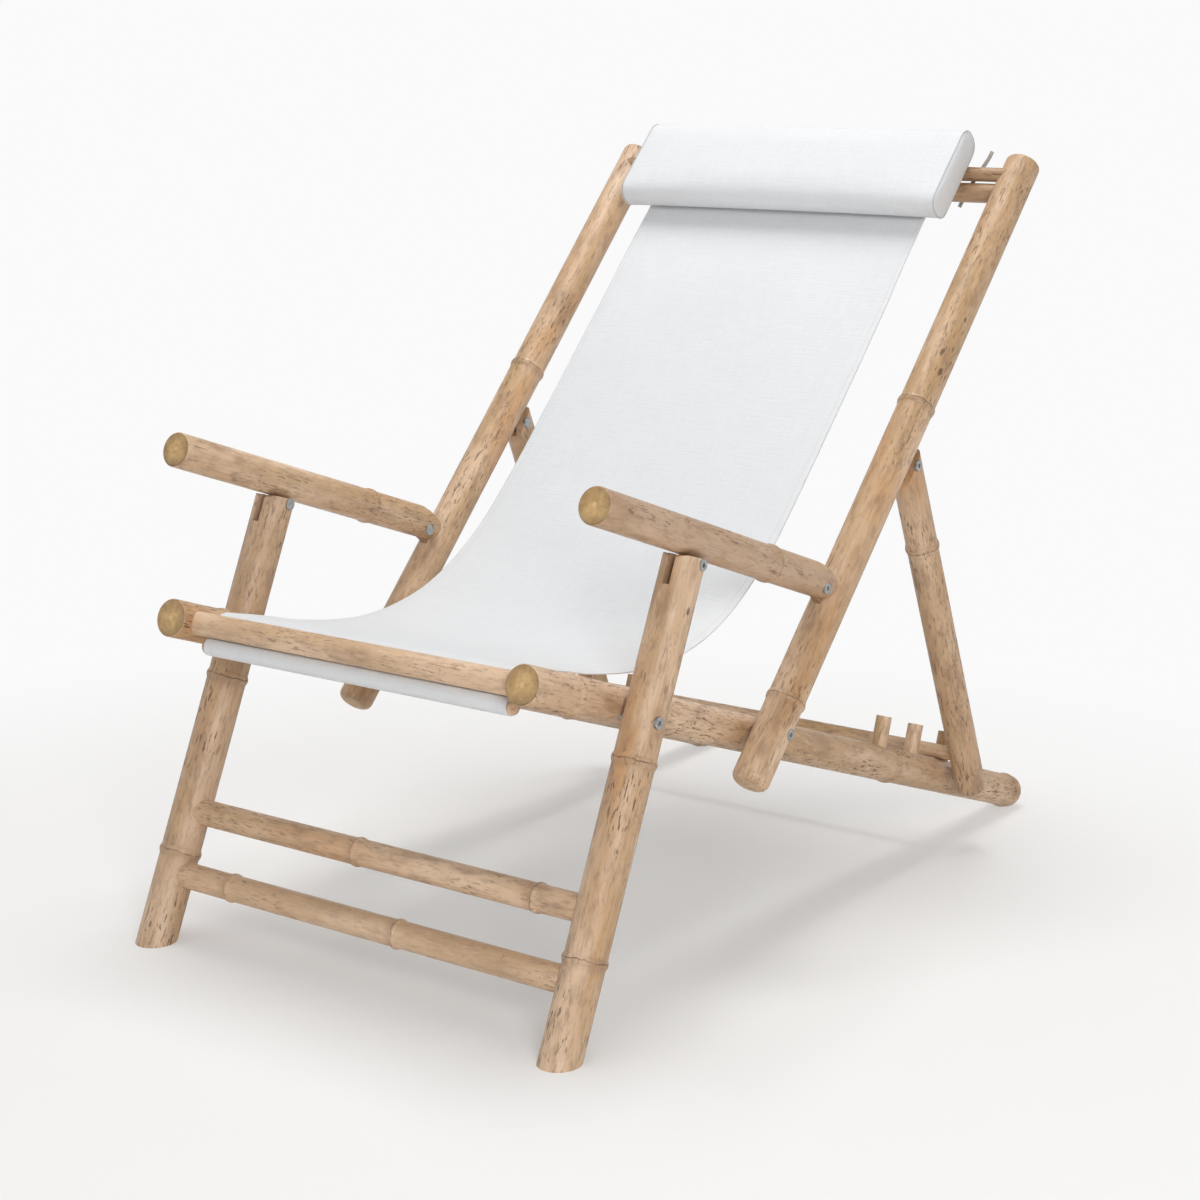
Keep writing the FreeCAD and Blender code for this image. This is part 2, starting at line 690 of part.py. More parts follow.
# Sling: one band of cloth from the sleeve under the front bar to the sleeve on the top dowel
skin = size("cloth_thick") / 2
sleeve_in = size("dowel_radius") + size("rest_gap")
sleeve_out = sleeve_in + size("cloth_thick")
sleeve_mid = sleeve_in + skin
bar_mid = size("front_bar_radius") + size("rest_gap") + skin
hem_rise = sub(front_bar_at, front_hem_at)
front_line = math.degrees(math.atan2(hem_rise[1], hem_rise[0])
                          - math.asin((bar_mid - sleeve_mid) / math.hypot(*hem_rise)))
seat_end = (size("bend_y"), size("bend_z"))
back_line = size("stile_lean")
for count in range(4):
    top_touch = add(top_hem_at, turned(back_line, 0, sleeve_mid))
    back_line = math.degrees(math.atan2(top_touch[1] - seat_end[1], top_touch[0] - seat_end[0]))

# the cloth lies against the rear of the front bar, turns over behind it, sags under the seat
# and then runs straight up the back
wrap_angles = (front_line - 90, 8)
rise_points = [(36.3, 351.7), (40.2, 354.1)]
crest = (46.0, 354.4)
seat_points = [(60, 351.2), (100, 342), (150, 330.6), (200, 321.6), (250, 316.8), (300, 320.2),
               (345, 329.6), (385, 345.2), (425, 368.2), (462, 396.5), (500, 432.6), seat_end]


def band_side(points, offset):
    # points beside the path, each square to it
    placed = []
    for before, p, after in zip(points, points[1:], points[2:]):
        angle = math.degrees(math.atan2(after[1] - before[1], after[0] - before[0]))
        placed.append(add(p, turned(angle, 0, offset)))
    return placed


def halfway(before, p, q, after):
    # the middle of the even curve between two points of the path
    return tuple((9 * (p[i] + q[i]) - before[i] - after[i]) / 16 for i in (0, 1))


def arcs(points):
    return [Part.Arc(flat(first), flat(middle), flat(last)).toShape()
            for first, middle, last in zip(points[::2], points[1::2], points[2::2])]


def round_the_dowel(centre, start):
    # the outside of the sleeve, from one side of the cloth back to the other
    sweep = (math.degrees(math.atan2(hook, sleeve_in)) - 360) / 6
    return arcs([add(centre, turned(start + sweep * n, sleeve_out)) for n in range(7)])


seat = [crest] + seat_points
beyond = add(seat_end, turned(back_line, size("spare")))
guides = [rise_points[-1]] + seat + [beyond]
run = []
for n in range(1, len(guides) - 2):
    run += [guides[n], halfway(guides[n - 1], guides[n], guides[n + 1], guides[n + 2])]
run.append(seat_end)
hem_touch = add(front_hem_at, turned(front_line - 90, sleeve_mid))
path = [hem_touch] + [add(front_bar_at, turned(angle, bar_mid)) for angle in wrap_angles]
path += rise_points + run + [beyond]
upper = band_side(path, skin)
lower = band_side(path, -skin)
hook = math.sqrt(sleeve_out ** 2 - sleeve_in ** 2)
upper_start = add(front_hem_at, turned(front_line, hook, -sleeve_in))
lower_start = add(front_hem_at, turned(front_line, 0, -sleeve_out))
upper_end = add(top_hem_at, turned(back_line, 0, sleeve_out))
lower_end = add(top_hem_at, turned(back_line, -hook, sleeve_in))
outline = [Part.makeLine(flat(upper_start), flat(upper[0]))] + arcs(upper)
outline.append(Part.makeLine(flat(upper[-1]), flat(upper_end)))
outline += round_the_dowel(top_hem_at, back_line + 90)
outline.append(Part.makeLine(flat(lower_end), flat(lower[-1])))
outline += arcs(lower[::-1])
outline.append(Part.makeLine(flat(lower[0]), flat(lower_start)))
outline += round_the_dowel(front_hem_at, front_line - 90)
rims = [Part.Wire(outline)]
for centre in (front_hem_at, top_hem_at):
    rims.append(Part.Wire([Part.makeCircle(sleeve_in, flat(centre), Vector(0, 0, 1))]))
band = Part.makeFace(rims, "Part::FaceMakerBullseye")
sling = doc.addObject("Part::Feature", "sling_cloth")
sling.Shape = band.extrude(Vector(0, 0, 2 * size("cloth_half")))
side_view = Rotation(Vector(0, 1, 0), 90) * Rotation(Vector(0, 0, 1), 90)
sling.Placement = Placement(spot(-size("cloth_half"), (0, 0)), side_view)
keep("sling", sling)

# Headrest: a crowned cushion that leans on the cloth, drawn in a little at its end panels
pad_low = add(top_touch, add(turned(back_line, -size("pad_rise") - size("pad_height") / 2),
                             turned(back_line, 0, skin + size("pad_gap"))))


def pad_section(x_at, draw, crown):
    # rounded rectangle whose rear side lies on the cloth
    high = size("pad_height") - 2 * draw
    thick = size("pad_thick") - 2 * draw + crown
    r = size("pad_round")
    corners = ((0, 0, 180, 270), (high, 0, 270, 360), (high, thick, 0, 90), (0, thick, 90, 180))
    edges = []
    ends = []
    for a, b, start, stop in corners:
        ca = a + (r if a == 0 else -r)
        cb = b + (r if b == 0 else -r)
        three = []
        for t in (start, (start + stop) / 2, stop):
            q = (draw + ca + r * math.cos(math.radians(t)), draw + cb + r * math.sin(math.radians(t)))
            side_point = add(pad_low, turned(back_line, q[0], q[1]))
            three.append(spot(x_at, side_point))
        ends.append(three)
    for n in range(4):
        edges.append(Part.Arc(*ends[n]).toShape())
        edges.append(Part.makeLine(ends[n][2], ends[(n + 1) % 4][0]))
    return Part.Wire(edges)


# the ends are drawn in over the last few centimetres and the middle stands a little prouder
half_pad = size("pad_half")
pad_steps = (0.25, 0.5, 0.7, 0.83, 0.91, 0.96, 0.985, 1.0)
sections = []
for share in [-step for step in pad_steps[::-1]] + [0.0] + list(pad_steps):
    draw = size("pad_end_draw") * abs(share) ** size("pad_end_power")
    crown = size("pad_crown") * (1 - share ** 4)
    sections.append((half_pad * share, draw, crown))
headrest = doc.addObject("Part::Feature", "headrest_cushion")
headrest.Shape = Part.makeLoft([pad_section(*section) for section in sections], True, False)
keep("headrest", headrest)

# Straps: two thin tapes that run slantwise behind the two top members
strap_y = max(top_hem_at[0] + size("dowel_radius"), top_rail_at[0] + size("top_rail_radius")) \
    + size("rest_gap") + size("strap_thick") / 2
slant = math.degrees(math.atan2(size("strap_high_x") - size("strap_low_x"),
                                size("strap_high_z") - size("strap_low_z")))
for side, sign in sides.items():
    stretch = 1 / math.cos(math.radians(slant))
    thin = size("strap_thick") / 2
    tall = [(size(level) - size("strap_low_z")) * stretch
            for level in ("strap_low_z", "strap_bend_z", "strap_high_z")]
    lean = size("strap_lean")
    points = [(-thin, tall[0]), (thin, tall[0]), (thin, tall[1]), (thin + lean, tall[2]),
              (-thin + lean, tall[2]), (-thin, tall[1] + size("rest_gap"))]
    strap = plate("strap_body_" + side, loop(points), 0, "strap_width")
    strap_x = sign * size("strap_low_x") - size("strap_width") / 2
    strap.Placement = Placement(spot(strap_x, (strap_y, size("strap_low_z"))),
                                Rotation(Vector(0, 1, 0), sign * slant))
    keep("headrest_strap_" + side, strap)

doc.recompute()
for thing in doc.Objects:
    if "Invalid" in thing.State or "Error" in thing.State:
        raise RuntimeError("failed: " + thing.Name)
low = [1e9] * 3
high = [-1e9] * 3
for node, thing in kept.items():
    shape = thing.Shape
    if shape.isNull() or not shape.isValid() or len(shape.Solids) != 1:
        raise RuntimeError("bad shape: %s, %d solids" % (node, len(shape.Solids)))
    box = shape.BoundBox
    low = [min(low[0], box.XMin), min(low[1], box.YMin), min(low[2], box.ZMin)]
    high = [max(high[0], box.XMax), max(high[1], box.YMax), max(high[2], box.ZMax)]
for node, thing in kept.items():
    thing.Shape.exportStep("parts/" + node + ".step")
print("box", [round(v, 2) for v in low + high], len(kept), "pieces")
for name, p in (("leg pivot", leg_pivot), ("back pivot", back_pivot), ("arm front", arm_front_pivot),
                ("arm rear", arm_rear_pivot), ("prop pivot", prop_pivot), ("crossbar", crossbar_at)):
    print(name, round(p[0] + shift_y, 3), round(p[1], 3))
print("shift", round(shift_y, 3), "back of the sling", round(back_line, 2), "degrees")
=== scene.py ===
import math

import bmesh
import bpy
from mathutils import Matrix, Vector


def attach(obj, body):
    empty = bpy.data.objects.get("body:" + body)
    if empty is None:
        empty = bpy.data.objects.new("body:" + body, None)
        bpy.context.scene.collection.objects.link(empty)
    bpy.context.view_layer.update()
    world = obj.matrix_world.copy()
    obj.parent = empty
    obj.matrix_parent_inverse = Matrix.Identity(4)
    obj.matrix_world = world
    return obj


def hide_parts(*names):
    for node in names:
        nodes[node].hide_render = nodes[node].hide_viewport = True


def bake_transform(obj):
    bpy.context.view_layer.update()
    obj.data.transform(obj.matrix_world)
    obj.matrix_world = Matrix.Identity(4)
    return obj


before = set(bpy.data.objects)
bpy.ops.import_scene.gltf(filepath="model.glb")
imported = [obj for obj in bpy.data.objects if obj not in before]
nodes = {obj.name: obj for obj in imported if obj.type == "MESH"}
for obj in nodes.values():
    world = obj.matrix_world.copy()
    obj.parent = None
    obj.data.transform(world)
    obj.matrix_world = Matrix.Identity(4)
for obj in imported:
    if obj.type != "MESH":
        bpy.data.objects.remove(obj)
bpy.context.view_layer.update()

print("frame loaded")

# Places in the side view are in mm from the foot of the front legs: back and up.
# This shift in metres brings them to the model's own origin.
shiftY = -0.474548
sides = (("left", 1), ("right", -1))


def inFrame(x, at):
    return Vector((x / 1000, at[0] / 1000 + shiftY, at[1] / 1000))


def direction(angle):
    a = math.radians(angle)
    return Vector((math.cos(a), math.sin(a)))


def left(angle):
    return direction(angle + 90)


# Camera at the photograph's view
cameraSetup = {
    "place": (1.5483, -1.6617 + shiftY, 0.906), "azimuth": 36.62, "pitch": 12.58,
    "lens": 73.005, "sensor": 36, "clip": (0.05, 60),
}


def addCamera(setup):
    data = bpy.data.cameras.new("camera")
    data.lens = setup["lens"]
    data.sensor_width = setup["sensor"]
    data.clip_start, data.clip_end = setup["clip"]
    cam = bpy.data.objects.new("camera", data)
    a, e = math.radians(setup["azimuth"]), math.radians(setup["pitch"])
    back = Vector((math.sin(a) * math.cos(e), -math.cos(a) * math.cos(e), math.sin(e)))
    cam.location = setup["place"]
    cam.rotation_mode = "QUATERNION"
    cam.rotation_quaternion = (-back).to_track_quat("-Z", "Y")
    bpy.context.collection.objects.link(cam)
    bpy.context.scene.camera = cam


addCamera(cameraSetup)
bpy.context.scene.view_settings.view_transform = "Standard"


# Small helpers for node materials
class Shade:
    def __init__(self, name):
        self.mat = bpy.data.materials.new(name)
        self.mat.use_nodes = True
        self.tree = self.mat.node_tree
        self.tree.nodes.clear()
        self.out = self.tree.nodes.new("ShaderNodeOutputMaterial")
        self.shader = self.tree.nodes.new("ShaderNodeBsdfPrincipled")
        self.tree.links.new(self.shader.outputs[0], self.out.inputs["Surface"])
        self.coord = self.tree.nodes.new("ShaderNodeTexCoord")

    def join(self, source, target):
        if isinstance(source, bpy.types.NodeSocket):
            self.tree.links.new(source, target)
        else:
            target.default_value = source

    def put(self, values):
        # each value goes on the shader's own socket of that name, as a constant or as a link
        for name, value in values.items():
            self.join(value, self.shader.inputs[name])

    def math(self, kind, *values, clamp=False):
        node = self.tree.nodes.new("ShaderNodeMath")
        node.operation = kind
        node.use_clamp = clamp
        for value, socket in zip(values, node.inputs):
            self.join(value, socket)
        return node.outputs[0]

    def length(self, *steps):
        total = 0.0
        for step in steps:
            total = self.math("MULTIPLY_ADD", step, step, total)
        return self.math("SQRT", total)

    def mapping(self, source, kind, place=(0, 0, 0), turn=(0, 0, 0), scale=(1, 1, 1)):
        node = self.tree.nodes.new("ShaderNodeMapping")
        node.vector_type = kind
        if kind in ("POINT", "TEXTURE"):
            node.inputs["Location"].default_value = place
        node.inputs["Rotation"].default_value = turn
        node.inputs["Scale"].default_value = scale
        self.tree.links.new(source, node.inputs["Vector"])
        return node.outputs[0]

    def noise(self, source, scale=1.0, detail=2.0, rough=0.5):
        node = self.tree.nodes.new("ShaderNodeTexNoise")
        self.tree.links.new(source, node.inputs["Vector"])
        node.inputs["Scale"].default_value = scale
        node.inputs["Detail"].default_value = detail
        node.inputs["Roughness"].default_value = rough
        return node.outputs["Fac"]

    def span(self, source, low, high, first=0.0, last=1.0):
        node = self.tree.nodes.new("ShaderNodeMapRange")
        node.interpolation_type = "SMOOTHSTEP"
        self.join(source, node.inputs["Value"])
        for key, value in (("From Min", low), ("From Max", high), ("To Min", first), ("To Max", last)):
            node.inputs[key].default_value = value
        return node.outputs["Result"]

    def mix(self, share, first, second):
        node = self.tree.nodes.new("ShaderNodeMix")
        node.data_type = "RGBA"
        self.join(share, node.inputs[0])
        for value, socket in ((first, node.inputs[6]), (second, node.inputs[7])):
            self.join(value if isinstance(value, bpy.types.NodeSocket) else (*value, 1), socket)
        return node.outputs[2]

    def parts(self, source):
        node = self.tree.nodes.new("ShaderNodeSeparateXYZ")
        self.tree.links.new(source, node.inputs[0])
        return node.outputs

    def vector(self, x, y, z):
        node = self.tree.nodes.new("ShaderNodeCombineXYZ")
        for value, socket in zip((x, y, z), node.inputs):
            self.join(value, socket)
        return node.outputs[0]

    def bump(self, height, strength, distance):
        node = self.tree.nodes.new("ShaderNodeBump")
        node.inputs["Strength"].default_value = strength
        node.inputs["Distance"].default_value = distance
        self.join(height, node.inputs["Height"])
        self.tree.links.new(node.outputs[0], self.shader.inputs["Normal"])


def linear(red, green, blue):
    # a colour as it looks on screen, 0 to 255, as the shader needs it
    made = []
    for c in (red, green, blue):
        c /= 255
        made.append(c / 12.92 if c <= 0.04045 else ((c + 0.055) / 1.055) ** 2.4)
    return tuple(made)


def newPiece(name, points, faces, material):
    mesh = bpy.data.meshes.new(name)
    mesh.from_pydata([tuple(p) for p in points], [], faces)
    mesh.materials.append(material)
    for face in mesh.polygons:
        face.use_smooth = True
    mesh.update()
    piece = bpy.data.objects.new(name, mesh)
    bpy.context.collection.objects.link(piece)
    return piece


# Floor: a wide shallow bowl, so that every side is seen against the same pale sweep
floorSetup = {
    "flat": 4.2, "bend": 2.4, "wall": 3.4, "around": 96, "flatSteps": 6, "bendSteps": 12,
    "color": (0.93, 0.922, 0.91, 1), "rough": 0.9, "gloss": 0.15,
    "even": 0.956, "near": 0.24, "pool": (0.05, -0.28), "fade": (0.42, 1.45),
}


def bowlShape(setup):
    flat, bend, around = setup["flat"], setup["bend"], setup["around"]
    profile = [(flat * k / setup["flatSteps"], 0.0) for k in range(1, setup["flatSteps"] + 1)]
    for k in range(1, setup["bendSteps"] + 1):
        a = math.radians(90 * k / setup["bendSteps"])
        profile.append((flat + bend * math.sin(a), bend * (1 - math.cos(a))))
    profile.append((flat + bend, setup["wall"]))
    points = [(0, 0, 0)]
    for r, z in profile:
        for k in range(around):
            a = 2 * math.pi * k / around
            points.append((r * math.cos(a), r * math.sin(a), z))
    faces = [(0, 1 + k, 1 + (k + 1) % around) for k in range(around)]
    for ring in range(len(profile) - 1):
        low, high = 1 + ring * around, 1 + (ring + 1) * around
        for k in range(around):
            n = (k + 1) % around
            faces.append((low + k, high + k, high + n, low + n))
    return points, faces


def paperMaterial(setup):
    s = Shade("floorPaper")
    s.put({"Base Color": setup["color"], "Roughness": setup["rough"], "Specular IOR Level": setup["gloss"]})
    # away from the object the paper fades to one even pale tone, for the camera and in gloss only
    x, y, z = s.parts(s.coord.outputs["Object"])
    away = s.length(s.math("SUBTRACT", x, setup["pool"][0]), s.math("SUBTRACT", y, setup["pool"][1]))
    path = s.tree.nodes.new("ShaderNodeLightPath")
    seen = s.math("MAXIMUM", path.outputs["Is Camera Ray"], path.outputs["Is Glossy Ray"])
    share = s.math("MULTIPLY", s.span(away, *setup["fade"], setup["near"], 1.0), seen)
    even = s.tree.nodes.new("ShaderNodeEmission")
    even.inputs["Color"].default_value = (1, 1, 1, 1)
    even.inputs["Strength"].default_value = setup["even"]
    both = s.tree.nodes.new("ShaderNodeMixShader")
    for source, socket in zip((share, s.shader.outputs[0], even.outputs[0]), both.inputs):
        s.tree.links.new(source, socket)
    s.tree.links.new(both.outputs[0], s.out.inputs["Surface"])
    return s.mat


def addFloor(setup):
    points, faces = bowlShape(setup)
    floor = newPiece("floor", points, faces, paperMaterial(setup))


# Light: one lamp overhead, one beside the camera, and a sky that is brighter to one side
skySetup = {"strength": 0.30, "from": (-0.78, -0.58, 0.25), "lean": 0.7}
lampSetup = {
    "key": {"place": (-0.15, 0.3, 3.3), "aim": (0, -0.05, 0), "size": 1.8, "power": 57,
            "color": (1.0, 0.992, 0.98)},
    "fill": {"place": (2.9, -2.7, 1.8), "aim": (0, 0, 0.4), "size": 1.4, "power": 62,
             "color": (0.99, 0.994, 1.0)},
}


def addSky(setup):
    world = bpy.data.worlds.new("studio")
    bpy.context.scene.world = world
    world.use_nodes = True
    tree = world.node_tree
    sky = tree.nodes["Background"]
    sky.inputs["Color"].default_value = (1, 1, 1, 1)
    aside = tree.nodes.new("ShaderNodeTexCoord")
    toward = tree.nodes.new("ShaderNodeVectorMath")
    toward.operation = "DOT_PRODUCT"
    toward.inputs[1].default_value = setup["from"]
    tree.links.new(aside.outputs["Generated"], toward.inputs[0])
    level = tree.nodes.new("ShaderNodeMath")
    level.operation = "MULTIPLY_ADD"
    level.inputs[1].default_value = setup["strength"] * setup["lean"]
    level.inputs[2].default_value = setup["strength"]
    tree.links.new(toward.outputs["Value"], level.inputs[0])
    tree.links.new(level.outputs[0], sky.inputs["Strength"])


def addLamps(setup):
    for name, one in setup.items():
        data = bpy.data.lights.new(name, "AREA")
        data.shape = "DISK"
        data.size = one["size"]
        data.energy = one["power"]
        data.color = one["color"]
        lamp = bpy.data.objects.new(name, data)
        lamp.location = one["place"]
        aim = Vector(one["aim"]) - Vector(one["place"])
        lamp.rotation_mode = "QUATERNION"
        lamp.rotation_quaternion = aim.to_track_quat("-Z", "Y")
        bpy.context.collection.objects.link(lamp)


addFloor(floorSetup)
addSky(skySetup)
addLamps(lampSetup)
print("stage made")

# Bamboo
bambooColors = {
    "tan": linear(202, 166, 127),
    "pink": linear(231, 199, 167),
    "olive": linear(184, 147, 98),
    "orange": linear(202, 147, 92),
    "grey": linear(147, 114, 86),
    "fleck": linear(88, 60, 42),
    "line": linear(108, 78, 54),
    "endLight": linear(214, 177, 121),
    "endDark": linear(186, 149, 97),
    "endRim": linear(98, 71, 47),
    "endHeart": linear(222, 190, 138),
}
# Noise layers: scale across and along the culm, offset, detail and roughness, and the two levels
# between which the layer fades in; a layer without them is used as it is
grain = {
    "blush": (15, 4.5, (0, 0, 0), 3, 0.55, 0.38, 0.62),
    "olive": (24, 5, (4, 0, 0), 3, 0.55, 0.50, 0.68),
    "warm": (20, 6, (0, 4, 2), 2, 0.55, 0.54, 0.72),
    "worn": (46, 16, (0, 0, 9), 4, 0.62, 0.50, 0.68),
    "mottle": (150, 52, (5, 2, 0), 4, 0.65, 0.48, 0.68),
    "pale": (120, 30, (1, 8, 3), 3, 0.6, 0.54, 0.72),
    "fibre": (420, 34, (0, 7, 0), 4, 0.6, 0.48, 0.68),
    "patch": (22, 8, (2, 5, 1), 3, 0.6, 0.42, 0.60),
    "dash": (460, 84, (1, 3, 2), 2, 0.5, 0.585, 0.655),
    "spot": (230, 52, (6, 1, 8), 3, 0.6, 0.630, 0.695),
    "scar": (85, 34, (7, 7, 1), 3, 0.65, 0.700, 0.750),
    "crack": (70, 7, (9, 2, 4), 3, 0.5),
    "cracked": (60, 40, (3, 3, 3), 2, 0.55, 0.60, 0.68),
    "waver": (70, 2, (0, 0, 0), 2, 0.55),
    "broken": (90, 30, (8, 0, 5), 2, 0.55, 0.38, 0.58),
    "uneven": (60, 20, (0, 0, 0), 3, 0.55),
    "endCloud": (70, 70, (2, 2, 2), 4, 0.6, 0.38, 0.64),
    "pores": (620, 620, (4, 4, 4), 2, 0.5, 0.58, 0.68),
}
# What lies over the tan and pink ground, in this order: layer, colour and how much of it
skinLayers = (
    ("olive", "olive", 0.60), ("warm", "orange", 0.60), ("worn", "grey", 0.50),
    ("mottle", "grey", 0.46), ("pale", "pink", 0.40), ("fibre", "grey", 0.30),
)
markSetup = {"dash": 0.88, "spot": 0.90, "crack": 0.7, "crackWidth": 0.010, "strength": 0.74}
knotSetup = {"squeeze": 0.5, "ragged": 0.006, "core": 0.4}
ringSetup = {
    "waver": 0.008, "broken": 0.6, "line": (0.0002, 0.0010), "lineShare": 0.85,
    "below": 0.004, "band": (0.001, 0.009), "bandShare": 0.30,
}
endSetup = {
    "uneven": 0.40, "waves": 44.0, "waveSpan": (-0.2, 1.0), "waveShare": 0.10, "pores": 0.28,
    "heart": (0.17, 0.08, 0.8), "rims": ((0.30, 1.00, 0.42), (0.90, 1.04, 0.80)), "facing": (0.80, 0.92),
}
bambooFinish = {
    "rough": (0.24, 0.34), "markRough": 0.2, "gloss": 0.75, "bump": 0.55, "depth": 0.0008,
    "fibre": 0.45, "mottle": 0.9, "marks": 0.8, "rings": 1.3,
}
# How far one step of a piece's seed shifts all its noise
seedStep = (3.7, 1.9, 5.3)


# Place and turn carry the culm's own axis onto Z, so that grain, rings and cut ends follow it
class BambooShade(Shade):
    def __init__(self, name, place, turn, seed):
        super().__init__(name)
        local = self.mapping(self.coord.outputs["Object"], "TEXTURE", place, turn)
        self.x, self.y, self.z = self.parts(local)
        self.moved = self.mapping(local, "POINT", place=[seed * step for step in seedStep])
        self.clouds = {}

    def cloud(self, key):
        if key not in self.clouds:
            across, along, place, detail, rough = grain[key][:5]
            source = self.mapping(self.moved, "POINT", place=place, scale=(across, across, along))
            self.clouds[key] = self.noise(source, detail=detail, rough=rough)
        return self.clouds[key]

    def layer(self, key):
        return self.span(self.cloud(key), *grain[key][5:])


def bambooSkin(s, orange, tone):
    skin = s.mix(s.layer("blush"), bambooColors["tan"], bambooColors["pink"])
    for key, color, share in skinLayers:
        much = share * orange if key == "warm" else share
        skin = s.mix(s.math("MULTIPLY", s.layer(key), much), skin, bambooColors[color])
    if tone:
        skin = s.mix(abs(tone), skin, bambooColors["grey" if tone > 0 else "pink"])
    return skin


def bambooMarks(s, skin, fleck):
    # short dark flecks, thick in patches, some larger scars, and a few thin cracks
    m = markSetup
    patch = s.layer("patch")
    dash, spot = (s.math("MULTIPLY", s.layer(key), s.math("MULTIPLY_ADD", patch, m[key], 1 - m[key]))
                  for key in ("dash", "spot"))
    middle = s.math("ABSOLUTE", s.math("SUBTRACT", s.cloud("crack"), 0.5))
    crack = s.math("MULTIPLY", s.span(middle, 0.0, m["crackWidth"], 1.0, 0.0), s.layer("cracked"))
    large = s.math("MAXIMUM", s.layer("scar"), s.math("MULTIPLY", crack, m["crack"]))
    marks = s.math("MAXIMUM", s.math("MAXIMUM", dash, spot), large)
    share = s.math("MULTIPLY", marks, m["strength"] * fleck, clamp=True)
    return s.mix(share, skin, bambooColors["fleck"]), marks


def bambooKnots(s, skin, marks, radius, knots):
    # dark knots with ragged edges, each at its place along and round the culm
    k = knotSetup
    for at, angle, size, strength in knots:
        spin = math.radians(angle)
        away = s.length(s.math("SUBTRACT", s.x, radius * math.cos(spin)),
                        s.math("SUBTRACT", s.y, radius * math.sin(spin)),
                        s.math("MULTIPLY", s.math("SUBTRACT", s.z, at), k["squeeze"]))
        ragged = s.math("MULTIPLY_ADD", s.cloud("mottle"), k["ragged"], -k["ragged"] / 2)
        knot = s.span(s.math("ADD", away, ragged), k["core"] * size, size, 1.0, 0.0)
        knot = s.math("MULTIPLY", knot, strength)
        marks = s.math("MAXIMUM", marks, knot)
        skin = s.mix(knot, skin, bambooColors["fleck"])
    return skin, marks


def bambooRings(s, skin, rings):
    # the thin dark line of each node, a little wavy, with a darker band below it
    r = ringSetup
    lines = 0.0
    waver = s.math("MULTIPLY_ADD", s.cloud("waver"), r["waver"], -r["waver"] / 2)
    broken = s.math("MULTIPLY_ADD", s.layer("broken"), r["broken"], 1 - r["broken"])
    for at, strength in rings:
        away = s.math("SUBTRACT", s.math("ADD", s.z, waver), at)
        line = s.span(s.math("ABSOLUTE", away), *r["line"], 1.0, 0.0)
        line = s.math("MULTIPLY", line, s.math("MULTIPLY", broken, strength))
        band = s.span(s.math("ABSOLUTE", s.math("ADD", away, r["below"])), *r["band"], 1.0, 0.0)
        skin = s.mix(s.math("MULTIPLY", band, r["bandShare"] * strength), skin, bambooColors["grey"])
        skin = s.mix(s.math("MULTIPLY", line, r["lineShare"]), skin, bambooColors["line"])
        lines = s.math("MAXIMUM", lines, line)
    return skin, lines


def bambooEnds(s, radius):
    # cut ends are olive brown with a dark rim, fine pores and a small pale heart
    e = endSetup
    uneven = s.math("MULTIPLY_ADD", s.cloud("uneven"), e["uneven"], -e["uneven"] / 2)
    out = s.math("ADD", s.math("DIVIDE", s.length(s.x, s.y), radius), uneven)
    ends = s.mix(s.layer("endCloud"), bambooColors["endDark"], bambooColors["endLight"])
    waves = s.math("SINE", s.math("MULTIPLY", out, e["waves"]))
    ends = s.mix(s.span(waves, *e["waveSpan"], 0.0, e["waveShare"]), ends, bambooColors["endDark"])
    near, far, share = e["heart"]
    ends = s.mix(s.span(out, near, far, 0.0, share), ends, bambooColors["endHeart"])
    ends = s.mix(s.math("MULTIPLY", s.layer("pores"), e["pores"]), ends, bambooColors["endRim"])
    for near, far, share in e["rims"]:
        ends = s.mix(s.span(out, near, far, 0.0, share), ends, bambooColors["endRim"])
    return ends


def bambooMaterial(name, place, turn, radius, seed, rings=(), fleck=1.0, orange=1.0, ends=1.0, tone=0.0,
                   knots=()):
    f = bambooFinish
    s = BambooShade(name, place, turn, seed)
    skin = bambooSkin(s, orange, tone)
    skin, marks = bambooMarks(s, skin, fleck)
    skin, marks = bambooKnots(s, skin, marks, radius, knots)
    skin, lines = bambooRings(s, skin, rings)
    normal = s.mapping(s.coord.outputs["Normal"], "VECTOR", turn=[-a for a in turn])
    facing = s.math("ABSOLUTE", s.parts(normal)[2])
    color = s.mix(s.span(facing, *endSetup["facing"], 0.0, ends), skin, bambooEnds(s, radius))
    mottle = s.cloud("mottle")
    rough = s.math("MULTIPLY_ADD", marks, f["markRough"], s.math("MULTIPLY_ADD", mottle, *f["rough"]))
    s.put({"Base Color": color, "Roughness": rough, "Specular IOR Level": f["gloss"]})
    height = s.math("MULTIPLY_ADD", s.cloud("fibre"), f["fibre"], s.math("MULTIPLY", mottle, f["mottle"]))
    height = s.math("SUBTRACT", height, s.math("MULTIPLY", marks, f["marks"]))
    height = s.math("SUBTRACT", height, s.math("MULTIPLY", lines, f["rings"]))
    s.bump(height, f["bump"], f["depth"])
    return s.mat


